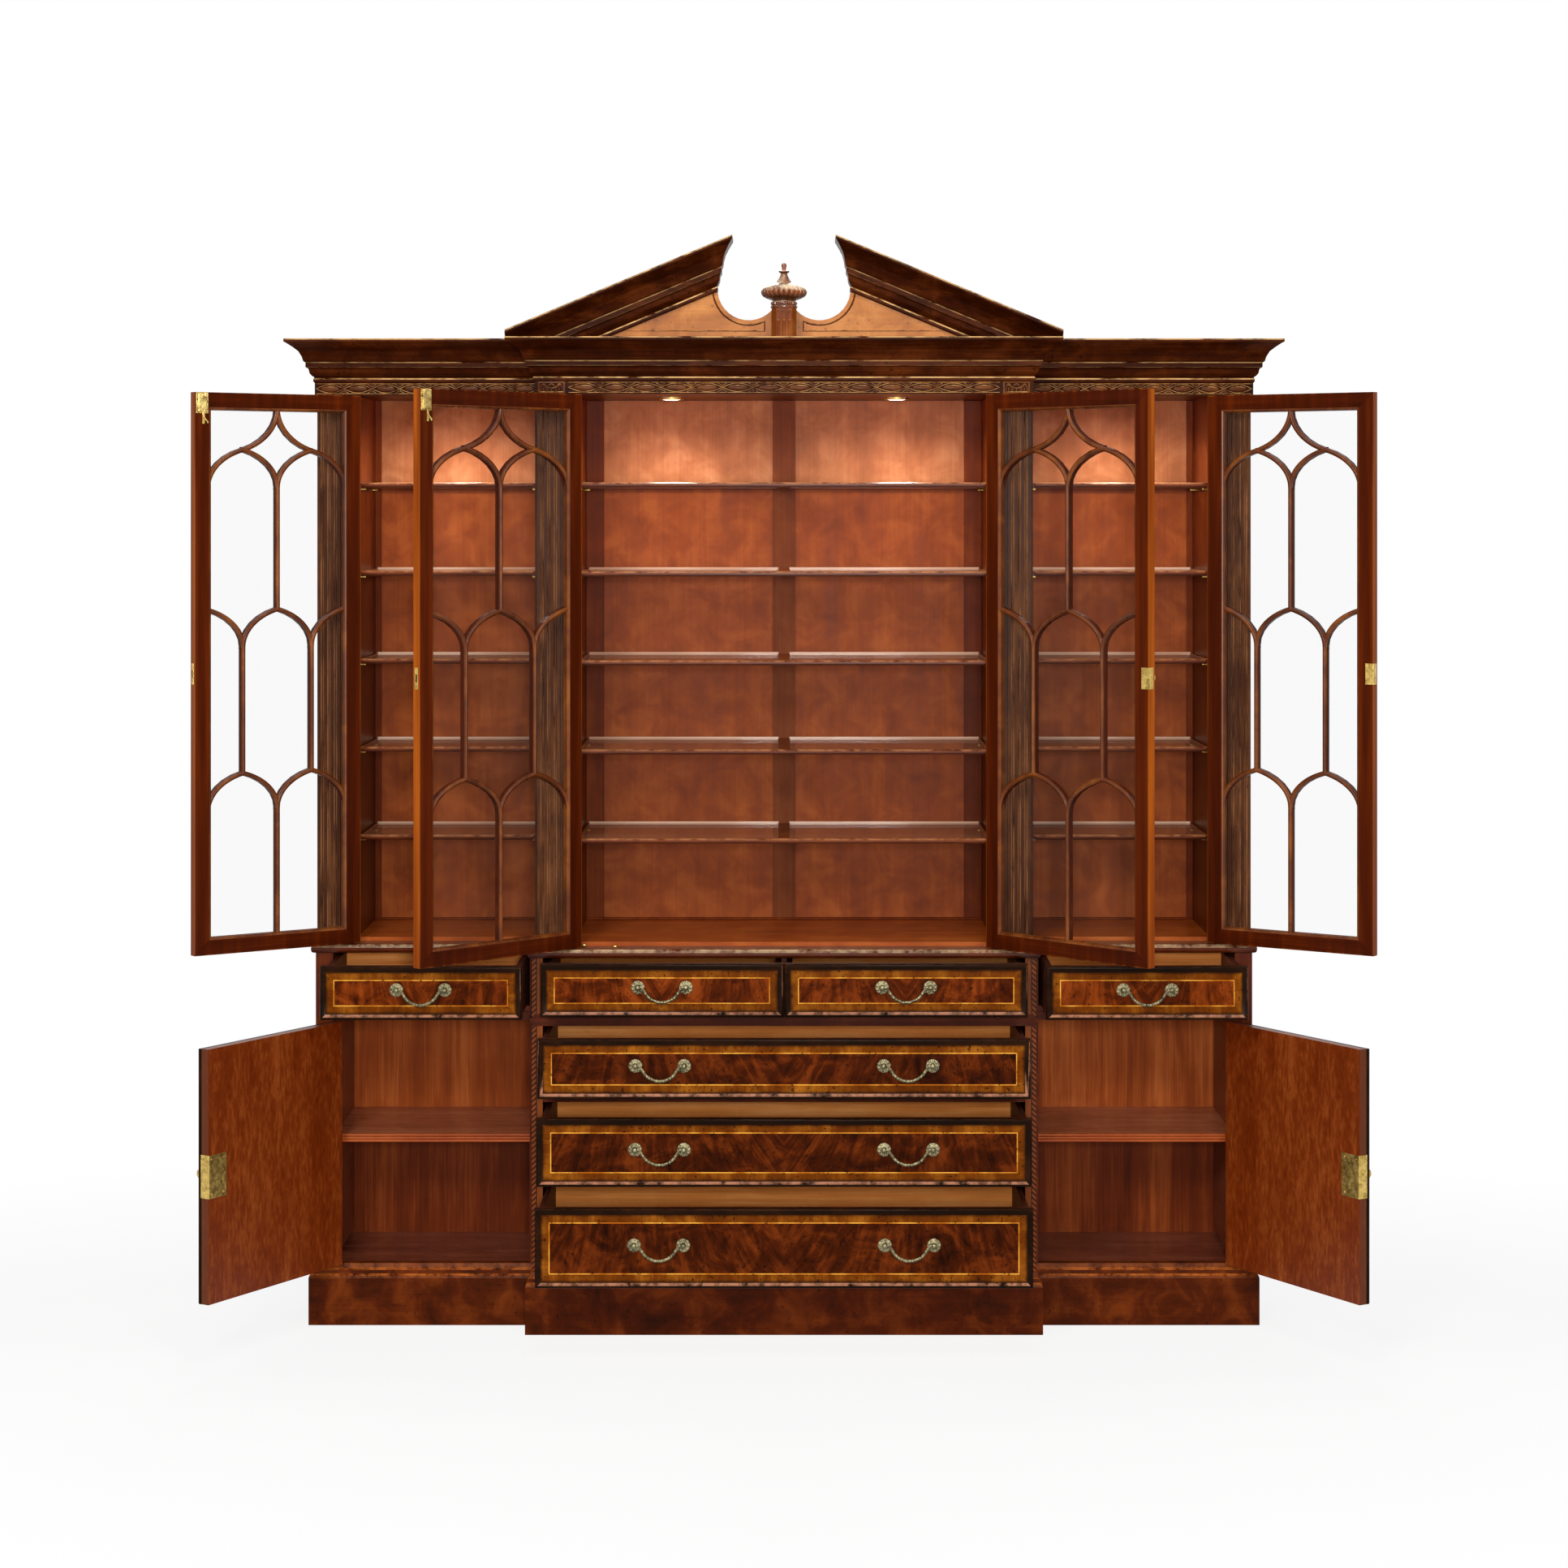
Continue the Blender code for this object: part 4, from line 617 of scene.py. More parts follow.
def traceryLines(left, right, bottom, top):
    def at(across, down):
        return (left + (right - left) * across, top - (top - bottom) * tracery.get(down, down))

    centre = at(0.5, "firstSpring")
    lines = [[centre, at(0.5, "secondApex")], [at(0.5, "thirdSpring"), at(0.5, 1)]]
    for quarter, edge in ((0.25, 0), (0.75, 1)):
        meet = at(quarter, "ogeeMeet")
        foot = at(quarter, "secondSpring")
        third = at(quarter, "thirdApex")
        lines += [arch(at(edge, "firstSpring"), meet), arch(centre, meet), arch(at(0.5, 0), meet)]
        lines += [arch(foot, at(edge, "secondApex")), arch(foot, at(0.5, "secondApex")), [foot, third]]
        lines += [arch(at(edge, "thirdSpring"), third), arch(at(0.5, "thirdSpring"), third)]
    return lines


def movedLine(line, offset):
    # the same line moved to its side
    points = [Vector(point) for point in line]
    moved = []
    for i, point in enumerate(points):
        way = (points[min(i + 1, len(points) - 1)] - points[max(i - 1, 0)]).normalized()
        moved.append(point + Vector((-way.y, way.x)) * offset)
    return moved


# Glazing mouldings round the glass, as (inwards, out of the face) with the face at zero
glazing = (
    ((0, -0.0265), (0, -0.0198), (0.0066, -0.0198), (0.0062, -0.0222), (0.0044, -0.0248), (0.002, -0.0262)),
    ((0, -0.0042), (0, -0.0166), (0.0075, -0.0162), (0.0068, -0.0105), (0.0042, -0.0066), (0.0018, -0.0048)),
)
plate = {
    "boltWidth": 0.030, "boltHeight": 0.048, "boltInset": 0.003, "boltThick": 0.0046, "flange": 0.0012,
    "lockHeight": 0.048, "lockWidth": 0.019, "lockDepth": 0.017, "lockThick": 0.0014, "strikeWidth": 0.011,
    "slot": (0.0011, 0.002, 0.009), "proud": 0.0008, "sunk": 0.001, "screw": 0.0021, "screwInset": 0.006,
    "flush": 0.0002, "hook": 0.0021, "boltScrew": 0.0013,
    "curl": ((0.0, 0.0), (0.001, -0.007), (0.005, -0.014), (0.011, -0.020), (0.0125, -0.024)),
}
# Stands a turned shape on a front, with its axis out of the face
outward = Matrix.Rotation(math.radians(90), 4, "X")
escutcheonProfile = ((0.0035, 0.0002), (0.0035, 0.0010), (0.0066, 0.0014), (0.0088, 0.0010), (0.0094, 0.0))


def addScrew(bm, centre, normal, radius, proud=0.0007):
    centre, normal = Vector(centre), Vector(normal)
    addRound(bm, centre - normal * 0.0006, centre + normal * proud, radius, 14)


def corners(x0, x1, z0, z1, inset):
    return [(x, z) for x in (x0 + inset, x1 - inset) for z in (z0 + inset, z1 - inset)]


def dressGlazedDoor(name, width):
    leaf = Door(name, width, door["upperSpan"], door["thickness"])
    makeDoorFinish(leaf)
    choices = [f"{name}Mahogany", "lockBrass"]
    paint(name, choices, lambda at, normal: 1 if (leaf.back @ at).x < door["hingeEdge"] else 0)
    paintAll(f"{name}_glass", "windowGlass")
    left, right = door["gap"] + door["stile"], width - door["stile"]
    bottom, top = leaf.low + door["rail"], leaf.high - door["rail"]
    lines = traceryLines(left, right, bottom, top)
    paneBack, barFront = door["face"] + door["paneDepth"], door["face"] + door["barDepth"]
    for label, depth, keep in (("InnerBars", paneBack, 1.1), ("OuterBars", barFront, 0.45)):
        rods = [[(x, depth, z) for x, z in line] for line in lines]
        leaf.rods(label, rods, tracery["radius"], "barWood", squash=(depth, keep))
    moved = [movedLine(line, side * tracery["offset"]) for line in lines for side in (-1, 1)]
    rods = [[(point.x, paneBack, point.y) for point in line] for line in moved]
    leaf.rods("BarFillets", rods, tracery["fillet"], "barWood", 1)
    bm = bmesh.new()
    half = ((right - left) / 2 + 0.0005, (top - bottom) / 2 + 0.0005)
    for profile in glazing:
        addFrameMoulding(bm, ((left + right) / 2, 0, (bottom + top) / 2), half, profile)
    leaf.add("Beading", bm, "barWood")
    if name.endswith("left"):
        addBoltPlate(leaf)
        addStrikePlate(leaf)
    else:
        addLockPlate(leaf)


def addBoltPlate(leaf):
    # engraved case of the top bolt, with its curled tail
    inner, high = leaf.inner, leaf.high
    x1 = leaf.width - plate["boltInset"]
    x0 = x1 - plate["boltWidth"]
    z0 = high - plate["boltHeight"]
    flange = inner + plate["flange"]
    bm = bmesh.new()
    addBox(bm, (x0, inner - plate["sunk"], z0), (x1, flange, high - 0.0006), 0.0005)
    raised = (x1 - 0.004, inner + plate["boltThick"], high - 0.002)
    addBox(bm, (x0 + 0.004, inner, z0 + 0.002), raised, 0.0018)
    leaf.add("BoltPlate", bm, "engravedBrass")
    hook = [((x0 + x1) / 2 - across, inner + 0.0042, z0 + 0.002 + up) for across, up in plate["curl"]]
    leaf.rods("BoltHook", [hook], plate["hook"], "lockBrass")
    bm = bmesh.new()
    for x, z in corners(x0, x1, z0, high, 0.0022):
        addScrew(bm, (x, flange, z), (0, 1, 0), plate["boltScrew"])
    leaf.add("BoltScrews", bm, "lockBrass")


def addStrikePlate(leaf):
    # plate on the free edge that takes the other door's lock
    middle, half, reach = leaf.middle, plate["lockHeight"] / 2, plate["strikeWidth"] / 2
    depth = door["face"] + door["thickness"] / 2
    start, face = leaf.width - plate["sunk"], leaf.width + plate["proud"]
    bm = bmesh.new()
    addBox(bm, (start, depth - reach, middle - half), (face, depth + reach, middle + half), 0.0003)
    for way in (-1, 1):
        z = middle + way * (half - plate["screwInset"])
        addScrew(bm, (face, depth, z), (1, 0, 0), plate["screw"], plate["flush"])
    leaf.add("StrikePlate", bm, "lockBrass")
    # a dark block at the edge stands for the shade inside the strike's slot
    bm = bmesh.new()
    out, wide, tall = plate["slot"]
    addBox(bm, (leaf.width, depth - wide, middle - tall), (leaf.width + out, depth + wide, middle + tall))
    leaf.add("StrikeSlot", bm, "keyhole")


def addLockPlate(leaf):
    # lock let into the stile, wrapped over its inner face and its free edge
    middle, half, inner, sunk = leaf.middle, plate["lockHeight"] / 2, leaf.inner, plate["sunk"]
    x0, face = leaf.width - plate["lockWidth"], leaf.width + plate["proud"]
    low, high, outer = middle - half, middle + half, inner + plate["lockThick"]
    bm = bmesh.new()
    addBox(bm, (leaf.width - sunk, inner - plate["lockDepth"], low), (face, inner + sunk, high), 0.0003)
    addBox(bm, (x0, inner - sunk, low), (face, outer, high), 0.0004)
    for way in (-1, 1):
        z = middle + way * (half - plate["screwInset"])
        addScrew(bm, (x0 + 0.007, outer, z), (0, 1, 0), plate["screw"])
        addScrew(bm, (face, inner - 0.008, z), (1, 0, 0), plate["screw"], plate["flush"])
    leaf.add("LockPlate", bm, "lockBrass")
    addEscutcheon(leaf)


def addEscutcheon(leaf):
    bm = bmesh.new()
    place = Matrix.Translation((leaf.width - door["keyInset"], door["face"], leaf.middle))
    addTurned(bm, escutcheonProfile, place @ outward @ Matrix.Diagonal((0.75, 1.15, 1, 1)), 28)
    leaf.add("Escutcheon", bm, "lockBrass", True)


for side in ("left", "right"):
    dressGlazedDoor(f"wing_door_{side}", door["wing"])
    dressGlazedDoor(f"centre_door_{side}", door["centre"])
print("glazed doors dressed")


# Veneered fronts: crossbanding, stringing and a plume of dark and light streaks

veneer = {"bead": 0.0136, "band": 0.0168, "string": 0.0024, "lean": 0.95}
beadProfile = (
    (0.0, -0.006), (0.0, 0.0006), (0.0006, 0.0031), (0.0016, 0.0044), (0.0030, 0.0049), (0.0062, 0.0045),
    (0.0094, 0.0039), (0.0122, 0.0033), (0.0134, 0.0026), (0.0136, 0.0004), (0.0136, -0.006),
)


def addBead(name, centre, half, slotName, matrix=None):
    # a bead round a front; its upper half takes a fainter painted highlight than its lower half
    bm = bmesh.new()
    addFrameMoulding(bm, centre, [part + hair for part in half], beadProfile)
    if matrix:
        bmesh.ops.transform(bm, matrix=matrix, verts=bm.verts)
    piece = newPiece(f"{name}Bead", bm, "bead", name, True, slotName=slotName)
    # the upper half takes the finish with the fainter painted highlight
    piece.data.materials.append(finishes["beadTop"])
    for face in piece.data.polygons:
        face.material_index = 1 if face.center.z > centre[2] else 0


def makeVeneeredFront(name, centre, half, seed, tone="field", place=()):
    front = Finish(name, Specular_IOR_Level=0.03)
    own = front.place(*place)
    x, y, z = front.axes(own)
    across = abs(x - centre[0])
    rise = z - (centre[1] - half[1])
    fromSide = half[0] - across
    fromTop = half[1] - abs(z - centre[1])
    inward = fromSide.least(fromTop)
    sideBand = (fromTop - fromSide).over(0.0)
    bandGrain = grainValue(front, own, "x") * sideBand + grainValue(front, own, "z") * (1 - sideBand)
    patch = front.noise(own, 18.0, 3.0, 0.6)
    band = front.ramp(bandGrain * 0.55 + patch * 0.45, woodStops("banding"))
    streak = across - rise * veneer["lean"] * (1 - across * (1.7 / half[0]))
    plume = front.noise(front.joined(streak * 26.0, rise * 6.0, seed), 1.0, 3.0, 0.55, 1.2)
    feather = front.noise(front.joined(streak * 90.0, rise * 14.0, seed + 3.0), 1.0, 2.0, 0.6, 0.9)
    cloud = front.noise(front.joined(x * 12.0, z * 15.0, seed + 7.0), 1.0, 4.0, 0.6, 1.6)
    figure = plume * 0.38 + feather * 0.14 + cloud * 0.48
    field = front.ramp(figure, woodStops(tone, (0.37, 0.49, 0.62)))
    bandEnd = veneer["bead"] + veneer["band"]
    stringEnd = bandEnd + veneer["string"]
    line = front.mix(patch.step(0.4, 0.6), shade(178, 98, 18), shade(236, 168, 62))
    colour = front.mix(1 - (inward - stringEnd).over(0.0), field, line)
    colour = front.mix(1 - (inward - bandEnd).over(0.0), colour, band)
    # painted shade in the crease beside the bead
    creaseShade = 1 - (inward + patch * 0.006).step(veneer["bead"] + 0.002, veneer["bead"] + 0.0085)
    colour = front.mix(creaseShade * 0.85, colour, shade(34, 15, 5))
    colour = front.specks(colour, own, 0.7, 130.0, (0.65, 0.7), (16, 8, 4))
    front.bump(feather, 0.05, 0.0015)
    front.set(Base_Color=colour, Roughness=plume * 0.14 + 0.2)


lowerLock = {"width": 0.056, "height": 0.096, "thick": 0.003, "screw": 0.0028, "screwInset": 0.009}


def makeDoorInside(leaf):
    inner = Finish(f"{leaf.name}InnerVeneer", Specular_IOR_Level=0.15)
    own = inner.place(*leaf.place)
    grain = grainValue(inner, own, "z")
    cloud = inner.noise(inner.stretch(own, (1, 1, 0.4)), 26.0, 4.0, 0.6, 0.6)
    flecks = inner.noise(inner.stretch(own, (1, 1, 0.3)), 150.0, 2.0, 0.6)
    colour = inner.ramp(grain * 0.4 + cloud * 0.28 + flecks * 0.32, woodStops("doorInside"))
    edge = inner.axes(own)[0].over(leaf.width - 0.0004)
    colour = inner.mix(edge * 0.75, colour, shade(96, 46, 20))
    inner.polish(colour, grain, 0.24, 0.2)


def dressLowerDoor(name):
    leaf = Door(name, door["lower"], door["lowerSpan"], door["lowerThickness"])
    makeDoorInside(leaf)
    width, middle, tall = leaf.width, leaf.middle, (leaf.high - leaf.low) / 2
    makeVeneeredFront(f"{name}OuterVeneer", (width / 2, middle), (width / 2, tall), 21.0, place=leaf.place)

    def choose(at, normal):
        spot = leaf.back @ at
        if spot.x < door["hingeEdge"]:
            return 2
        return 1 if spot.y < door["face"] + hair else 0

    paint(name, [f"{name}InnerVeneer", f"{name}OuterVeneer", "lockBrass"], choose)
    centre = ((width + door["gap"]) / 2, door["face"], middle)
    addBead(name, centre, ((width - door["gap"]) / 2, tall), "mahogany", leaf.matrix)
    inner, outer = leaf.inner, leaf.inner + lowerLock["thick"]
    z0, z1 = middle - lowerLock["height"] / 2, middle + lowerLock["height"] / 2
    x0, x1 = width - lowerLock["width"], width + plate["proud"]
    bm = bmesh.new()
    addBox(bm, (x0, inner - plate["sunk"], z0), (x1, outer, z1), 0.0006)
    addBox(bm, (width - plate["sunk"], door["face"] + 0.004, z0), (x1, inner, z1), 0.0003)
    leaf.add("Lock", bm, "lockBrass")
    bm = bmesh.new()
    for x, z in corners(x0, x1, z0, z1, lowerLock["screwInset"]):
        addScrew(bm, (x, outer, z), (0, 1, 0), lowerLock["screw"])
    leaf.add("LockScrews", bm, "engravedBrass")
    addEscutcheon(leaf)


dressLowerDoor("lower_door_left")
dressLowerDoor("lower_door_right")
print("lower doors dressed")


# Drawers with their rosettes and bails

handle = {
    "discRadius": 0.0165, "spacing": 0.110, "drop": 0.034, "standoff": 0.0105, "petals": 9, "boxFoot": 0.0012,
    "front": 0.0008, "rim": 0.0221, "boxTop": 0.012,
}
rosetteProfile = (
    (0.0146, 0.0030), (0.0146, 0.0046), (0.0120, 0.0052), (0.0096, 0.0064), (0.0066, 0.0078),
    (0.0060, 0.0094), (0.0062, 0.0120), (0.0052, 0.0146), (0.0030, 0.0160), (0.0, 0.0164),
)
# The two rings of petals: turn, distance from the middle, height, size, fineness
petalRings = (
    (0.0, 0.0112, 0.0046, (0.0050, 0.0018, 0.0036), 2), (0.35, 0.0072, 0.0070, (0.0028, 0.0014, 0.0019), 1),
)


def dressDrawer(name, seed):
    low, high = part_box(name)
    foot = low.z + handle["boxFoot"]
    bails = [joints[bail]["pos_m"] for bail in sorted(nodes) if bail.startswith(f"{name}_bail")]
    faceY = bails[0][1] + handle["standoff"]
    half = ((high.x - low.x) / 2, (high.z - foot) / 2)
    centre = ((high.x + low.x) / 2, (high.z + foot) / 2)
    tone = "fieldDark" if name.startswith("long") else "field"
    makeVeneeredFront(f"{name}Veneer", centre, half, seed, tone)
    bosses = [Vector((x + side * handle["spacing"] / 2, faceY, z)) for x, y, z in bails for side in (-1, 1)]

    def choose(at, normal):
        near = min(math.hypot(at.x - boss.x, at.z - boss.z) for boss in bosses)
        if near < handle["discRadius"] and at.y < faceY - hair:
            return 1
        if at.y < faceY + handle["front"]:
            return 0
        if at.y < faceY + handle["rim"] or normal.z > 0.9 and at.z > high.z - handle["boxTop"]:
            return 2
        # side walls of the drawer box: a darker copy of its wood, painted shade
        return 4 if abs(normal.x) > 0.5 else 3

    paint(name, [f"{name}Veneer", "antiqueBrass", "drawerRim", "drawerInside", "drawerInsideDeep"], choose)
    addBead(name, (centre[0], faceY, centre[1]), half, "drawer_wood")
    bm = bmesh.new()
    for boss in bosses:
        addTurned(bm, rosetteProfile, Matrix.Translation(boss) @ outward, 24)
        for i in range(handle["petals"]):
            angle = math.tau * i / handle["petals"]
            for lead, away, height, size, level in petalRings:
                x, z = math.cos(angle + lead) * away, math.sin(angle + lead) * away
                addBall(bm, boss + Vector((x, -height, z)), size, -angle, level)
    newPiece(f"{name}Rosettes", bm, "antiqueBrass", name, True)


# Leaf notches along a bail: share of the half spacing, share of the drop, lean in degrees, half length
bailLeaves = (
    (0.66, 0.40, 62, 0.0060), (0.52, 0.68, 44, 0.0066), (0.42, 0.80, 36, 0.0046), (0.13, 0.98, 8, 0.0062),
)


def dressBail(name):
    paintAll(name, "antiqueBrass")
    smoothMesh(nodes[name].data, 50)
    x, y, z = joints[name]["pos_m"]
    bm = bmesh.new()
    for side in (-1, 1):
        for across, down, lean, reach in bailLeaves:
            spot = (x + side * across * handle["spacing"] / 2, y, z - down * handle["drop"])
            addBall(bm, spot, (reach, 0.0044, 0.0042), math.radians(-side * lean))
    newPiece(f"{name}Leaves", bm, "antiqueBrass", name, True)


drawers = [name for name in sorted(nodes) if joints.get(name, {}).get("type") == "slide" and "drawer" in name]
for number, drawer in enumerate(drawers):
    dressDrawer(drawer, 4.3 * number)
for node in sorted(nodes):
    if "_bail" in node:
        dressBail(node)
print("drawers dressed")


# Carcass

def makeStileFinish():
    # the chest's narrow stiles: feather banding at the outer edge, plain banding beside it
    stile = Finish("chestStileBanding", Specular_IOR_Level=0.12)
    own = stile.place()
    x, y, z = stile.axes(own)
    fromEdge = case["lowerCentre"] - abs(x)
    slant = ((abs(x) * 0.9 + z) * 520.0).sine() * 0.5 + 0.5
    grain = grainValue(stile, own, "z")
    feather = stile.mix(slant, shade(36, 12, 3), shade(144, 68, 20))
    plain = stile.mix(grain.step(0.35, 0.65), shade(74, 28, 5), shade(146, 74, 22))
    inside = fromEdge - case["stileBand"]
    colour = stile.mix(inside.over(0.0), feather, plain)
    line = 1 - (abs(inside) - case["stileLine"]).over(0.0)
    colour = stile.mix(line, colour, shade(16, 6, 2))
    stile.set(Base_Color=colour, Roughness=grain * 0.2 + 0.22)


hingePins = [joints[name]["pos_m"] for name in joints if name.split("_door_")[-1] in ("left", "right")]


def isKnuckle(at):
    return any(math.hypot(at.x - pin[0], at.y - pin[1]) < case["knuckle"] for pin in hingePins)


def chooseChest(at, normal):
    near, far = case["chestStile"]
    if normal.y < -0.5 and near < abs(at.x) < far and at.y < case["frontY"] + 0.002:
        return 1
    if abs(normal.x) > 0.5:
        return 3 if abs(at.x) > case["cupboardWall"] else 2
    return 0


def chooseSide(at, normal):
    if isKnuckle(at):
        return 2
    return 1 if abs(at.x) < case["sideInner"] and abs(normal.x) > 0.5 else 0


def chooseUpright(at, normal):
    if isKnuckle(at):
        return 2
    if abs(at.x) > case["outerFace"] and abs(normal.x) > 0.95:
        return 3
    face = case["upperWingY"] if abs(at.x) > case["upperCentre"] else case["upperFrontY"]
    return 0 if abs(at.x) > case["outerFace"] or at.y < face + 0.001 else 1


def chooseBack(at, normal):
    if normal.y > 0.5:
        return 2
    return 1 if abs(at.x) < case["muntinHalf"] else 0


def dressCarcass():
    whole = {
        "plinth": "plinthWood", "waist_top": "nosing", "lower_floor": "cupboardBoard",
        "left_cupboard_shelf": "cupboardShelf", "right_cupboard_shelf": "cupboardShelf",
        "upper_floor": "upperFloor", "upper_top": "liningAcross", "frieze": "friezeGround",
        "cornice": "corniceWood", "tympanum": "panel", "finial_block": "blockWood",
        "raking_cornice_left": "rakingCorniceWood", "raking_cornice_right": "rakingCorniceWood",
    }
    for node, finish in whole.items():
        paintAll(node, finish)
    for node in nodes:
        if "_key" in node or node.endswith("_bolt"):
            paintAll(node, "lockBrass")
    paint("lower_back", ["cupboard", "outerBack"], lambda at, normal: 1 if normal.y > 0.5 else 0)
    paint("upper_back", ["back", "backFrame", "outerBack"], chooseBack)
    makeStileFinish()
    for node in ("chest_frame", "drawer_row_frame"):
        paint(node, ["caseAcross", "chestStileBanding", "caseUpright", "cupboardSide"], chooseChest)
    for side in ("left", "right"):
        paint(f"lower_side_{side}", ["caseUpright", "cupboardSide", "lockBrass"], chooseSide)
        for node in (f"upper_side_{side}", f"upper_partition_{side}"):
            paint(node, ["carvedUpright", "lining", "lockBrass", "caseUpright"], chooseUpright)
    for node, angle in (("cornice", 35), ("plinth", 35), ("waist_top", 50)):
        smoothMesh(nodes[node].data, angle)


dressCarcass()
print("carcass dressed")


# Framing of the back, its bottom bead, the lipping's pins and the reeded shelf edges

backing = {
    "proud": 0.0038, "centreStile": 0.044, "wingStile": 0.016, "beadHeight": 0.006, "foot": 0.8984,
    "pins": ((-0.464, 0.8945), (-0.392, 0.8915)), "pinY": -0.2165,
}


def makeBacking():
    bm = bmesh.new()
    front = case["innerBackY"] - backing["proud"]
    deep = case["innerBackY"] + 0.0012
    foot, head = backing["foot"], case["ceiling"]
    wingLow, wingHigh = case["wingOpening"]
    centre = case["centreOpening"]
    # the stiles take the darker lining wood; their dark tone also stands for the shade cast beside each
    # opening
    for side in (-1, 1):
        spans = ((centre, centre - backing["centreStile"]), (wingHigh, wingHigh - backing["wingStile"]))
        for ends in (*spans, (wingLow, wingLow + backing["wingStile"])):
            x0, x1 = sorted(side * end for end in ends)
            addBox(bm, (x0, front, foot), (x1, deep, head), 0.0012)
    for ends in ((-centre, centre), (-wingHigh, -wingLow), (wingLow, wingHigh)):
        addBox(bm, (ends[0], front - 0.003, foot), (ends[1], deep, foot + backing["beadHeight"]), 0.0018)
    newPiece("backFraming", bm, "backStile")
    bm = bmesh.new()
    for x, z in backing["pins"]:
        addBall(bm, (x, backing["pinY"], z), (0.0055, 0.0020, 0.0026))
    newPiece("lippingPins", bm, "lockBrass", smooth=True)


reeds = {"count": 3, "radius": 0.0034, "thickness": 0.020}


def makeReededEdges():
    bm = bmesh.new()
    for side in ("left", "right"):
        low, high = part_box(f"{side}_cupboard_shelf")
        pitch = reeds["thickness"] / reeds["count"]
        for i in range(reeds["count"]):
            z = low.z + pitch * (i + 0.5)
            addRound(bm, (low.x + 0.0004, low.y, z), (high.x - 0.0004, low.y, z), reeds["radius"], 12)
    newPiece("cupboardShelfReeds", bm, "reeded", smooth=True)


makeBacking()
makeReededEdges()


# Shelves of the upper case: moulded frames with glass let in

shelf = {
    "firstTop": 1.13724, "pitch": 0.20795, "thickness": 0.012, "count": 5, "lip": 0.014, "bar": 0.030,
    "rail": 0.007, "setback": 0.040, "sideGap": 0.0025, "backY": 0.2225, "lap": 0.002, "nose": 0.004,
    "pinRadius": 0.003, "pinInset": 0.04, "pinLength": 0.012,
}


def makeShelves(name, lowX, highX, caseY, muntins):
    frames, panes, edges, pins = bmesh.new(), bmesh.new(), bmesh.new(), bmesh.new()
    x0, x1 = lowX + shelf["sideGap"], highX - shelf["sideGap"]
    y0, y1 = caseY + shelf["setback"], shelf["backY"]
    lip, rail, halfBar = y0 + shelf["lip"], y1 - shelf["rail"], shelf["bar"] / 2
    lap, nose, radius = shelf["lap"], shelf["nose"], shelf["pinRadius"]
    bars = [(x - halfBar, x + halfBar) for x in muntins]
    bars = [(x0, x0 + shelf["rail"]), *bars, (x1 - shelf["rail"], x1)]
    for number in range(shelf["count"]):
        top = shelf["firstTop"] + shelf["pitch"] * number
        foot = top - shelf["thickness"]
        addBox(frames, (x0, y0 + nose, foot), (x1, lip, top), 0.0016)
        addBox(frames, (x0 + nose, y0 - 0.0005, foot + lap), (x1 - nose, y0 + nose * 2, top - 0.0015), 0.0026)
        addBox(frames, (x0, rail, foot), (x1, y1, top), 0.0012)
        for left, right in bars:
            addBox(frames, (left, lip - lap, foot), (right, rail + lap, top - hair), 0.0012)
        for start, end in zip(bars, bars[1:]):
            left, right = start[1] - lap, end[0] + lap
            addBox(panes, (left, lip - lap, top - 0.0045), (right, rail + lap, top - 0.0008))
            # pale strip at the pane's back edge: painted reflection
            addBox(edges, (left, rail - lap, top - 0.0040), (right, rail + 0.0015, top + 0.0035), 0.0006)
        for x, inwards in ((lowX, 1), (highX, -1)):
            for y in (y0 + shelf["pinInset"], y1 - shelf["pinInset"]):
                end = (x + inwards * shelf["pinLength"], y, foot - radius)
                addRound(pins, (x, y, foot - radius), end, radius, 10)
    newPiece(f"{name}Frames", frames, "liningAcross", replaced=(name,))
    newPiece(f"{name}Panes", panes, "shelfGlass")
    newPiece(f"{name}PaneEdgeGlints", edges, "glassEdge")
    newPiece(f"{name}Pins", pins, "lockBrass", smooth=True)


wingLow, wingHigh = case["wingOpening"]
makeShelves("centre_shelves", -case["centreOpening"], case["centreOpening"], case["upperFrontY"], [0.0])
makeShelves("left_shelves", -wingHigh, -wingLow, case["upperWingY"], [])
makeShelves("right_shelves", wingLow, wingHigh, case["upperWingY"], [])
print("shelves made")


# Recessed lights in the ceiling: places, what each shines, and profiles as (radius, depth below the ceiling)

puck = {
    "places": ((-0.270, 0.04), (0.270, 0.04), (-0.795, 0.06), (0.795, 0.06)), "power": 16.0, "size": 0.05,
    "angle": 165, "offset": (-0.05, -0.02), "glow": 6.0, "color": (1.0, 0.97, 0.92),
    "rim": ((0.024, 0.001), (0.024, 0.0042), (0.028, 0.005), (0.030, 0.003), (0.030, 0.0002)),
    "lens": ((0.0, 0.0062), (0.0144, 0.0056), (0.024, 0.0036), (0.024, 0.0005)),
}


def makePuckLights():
    glow = Finish("lampLens", Roughness=0.3, Emission_Strength=puck["glow"])
    spots = glow.noise(glow.place(), 240.0, 2.0)
    warm = glow.ramp(spots, [(0.3, shade(255, 232, 184)), (0.7, shade(255, 246, 222))])
    glow.set(Base_Color=warm, Emission_Color=warm)
    rims, lenses = bmesh.new(), bmesh.new()
    for x, y in puck["places"]:
        down = Matrix.Translation((x, y, case["ceiling"])) @ Matrix.Rotation(math.pi, 4, "X")
        addTurned(rims, puck["rim"], down, 40)
        addTurned(lenses, puck["lens"], down, 40)
    newPiece("lampRims", rims, "lockBrass", smooth=True)
    newPiece("lampLenses", lenses, "lampLens", smooth=True)


makePuckLights()


# Frieze: a fret of pointed eyes between two crossing waves; an eye is its share of the pitch, depth, height

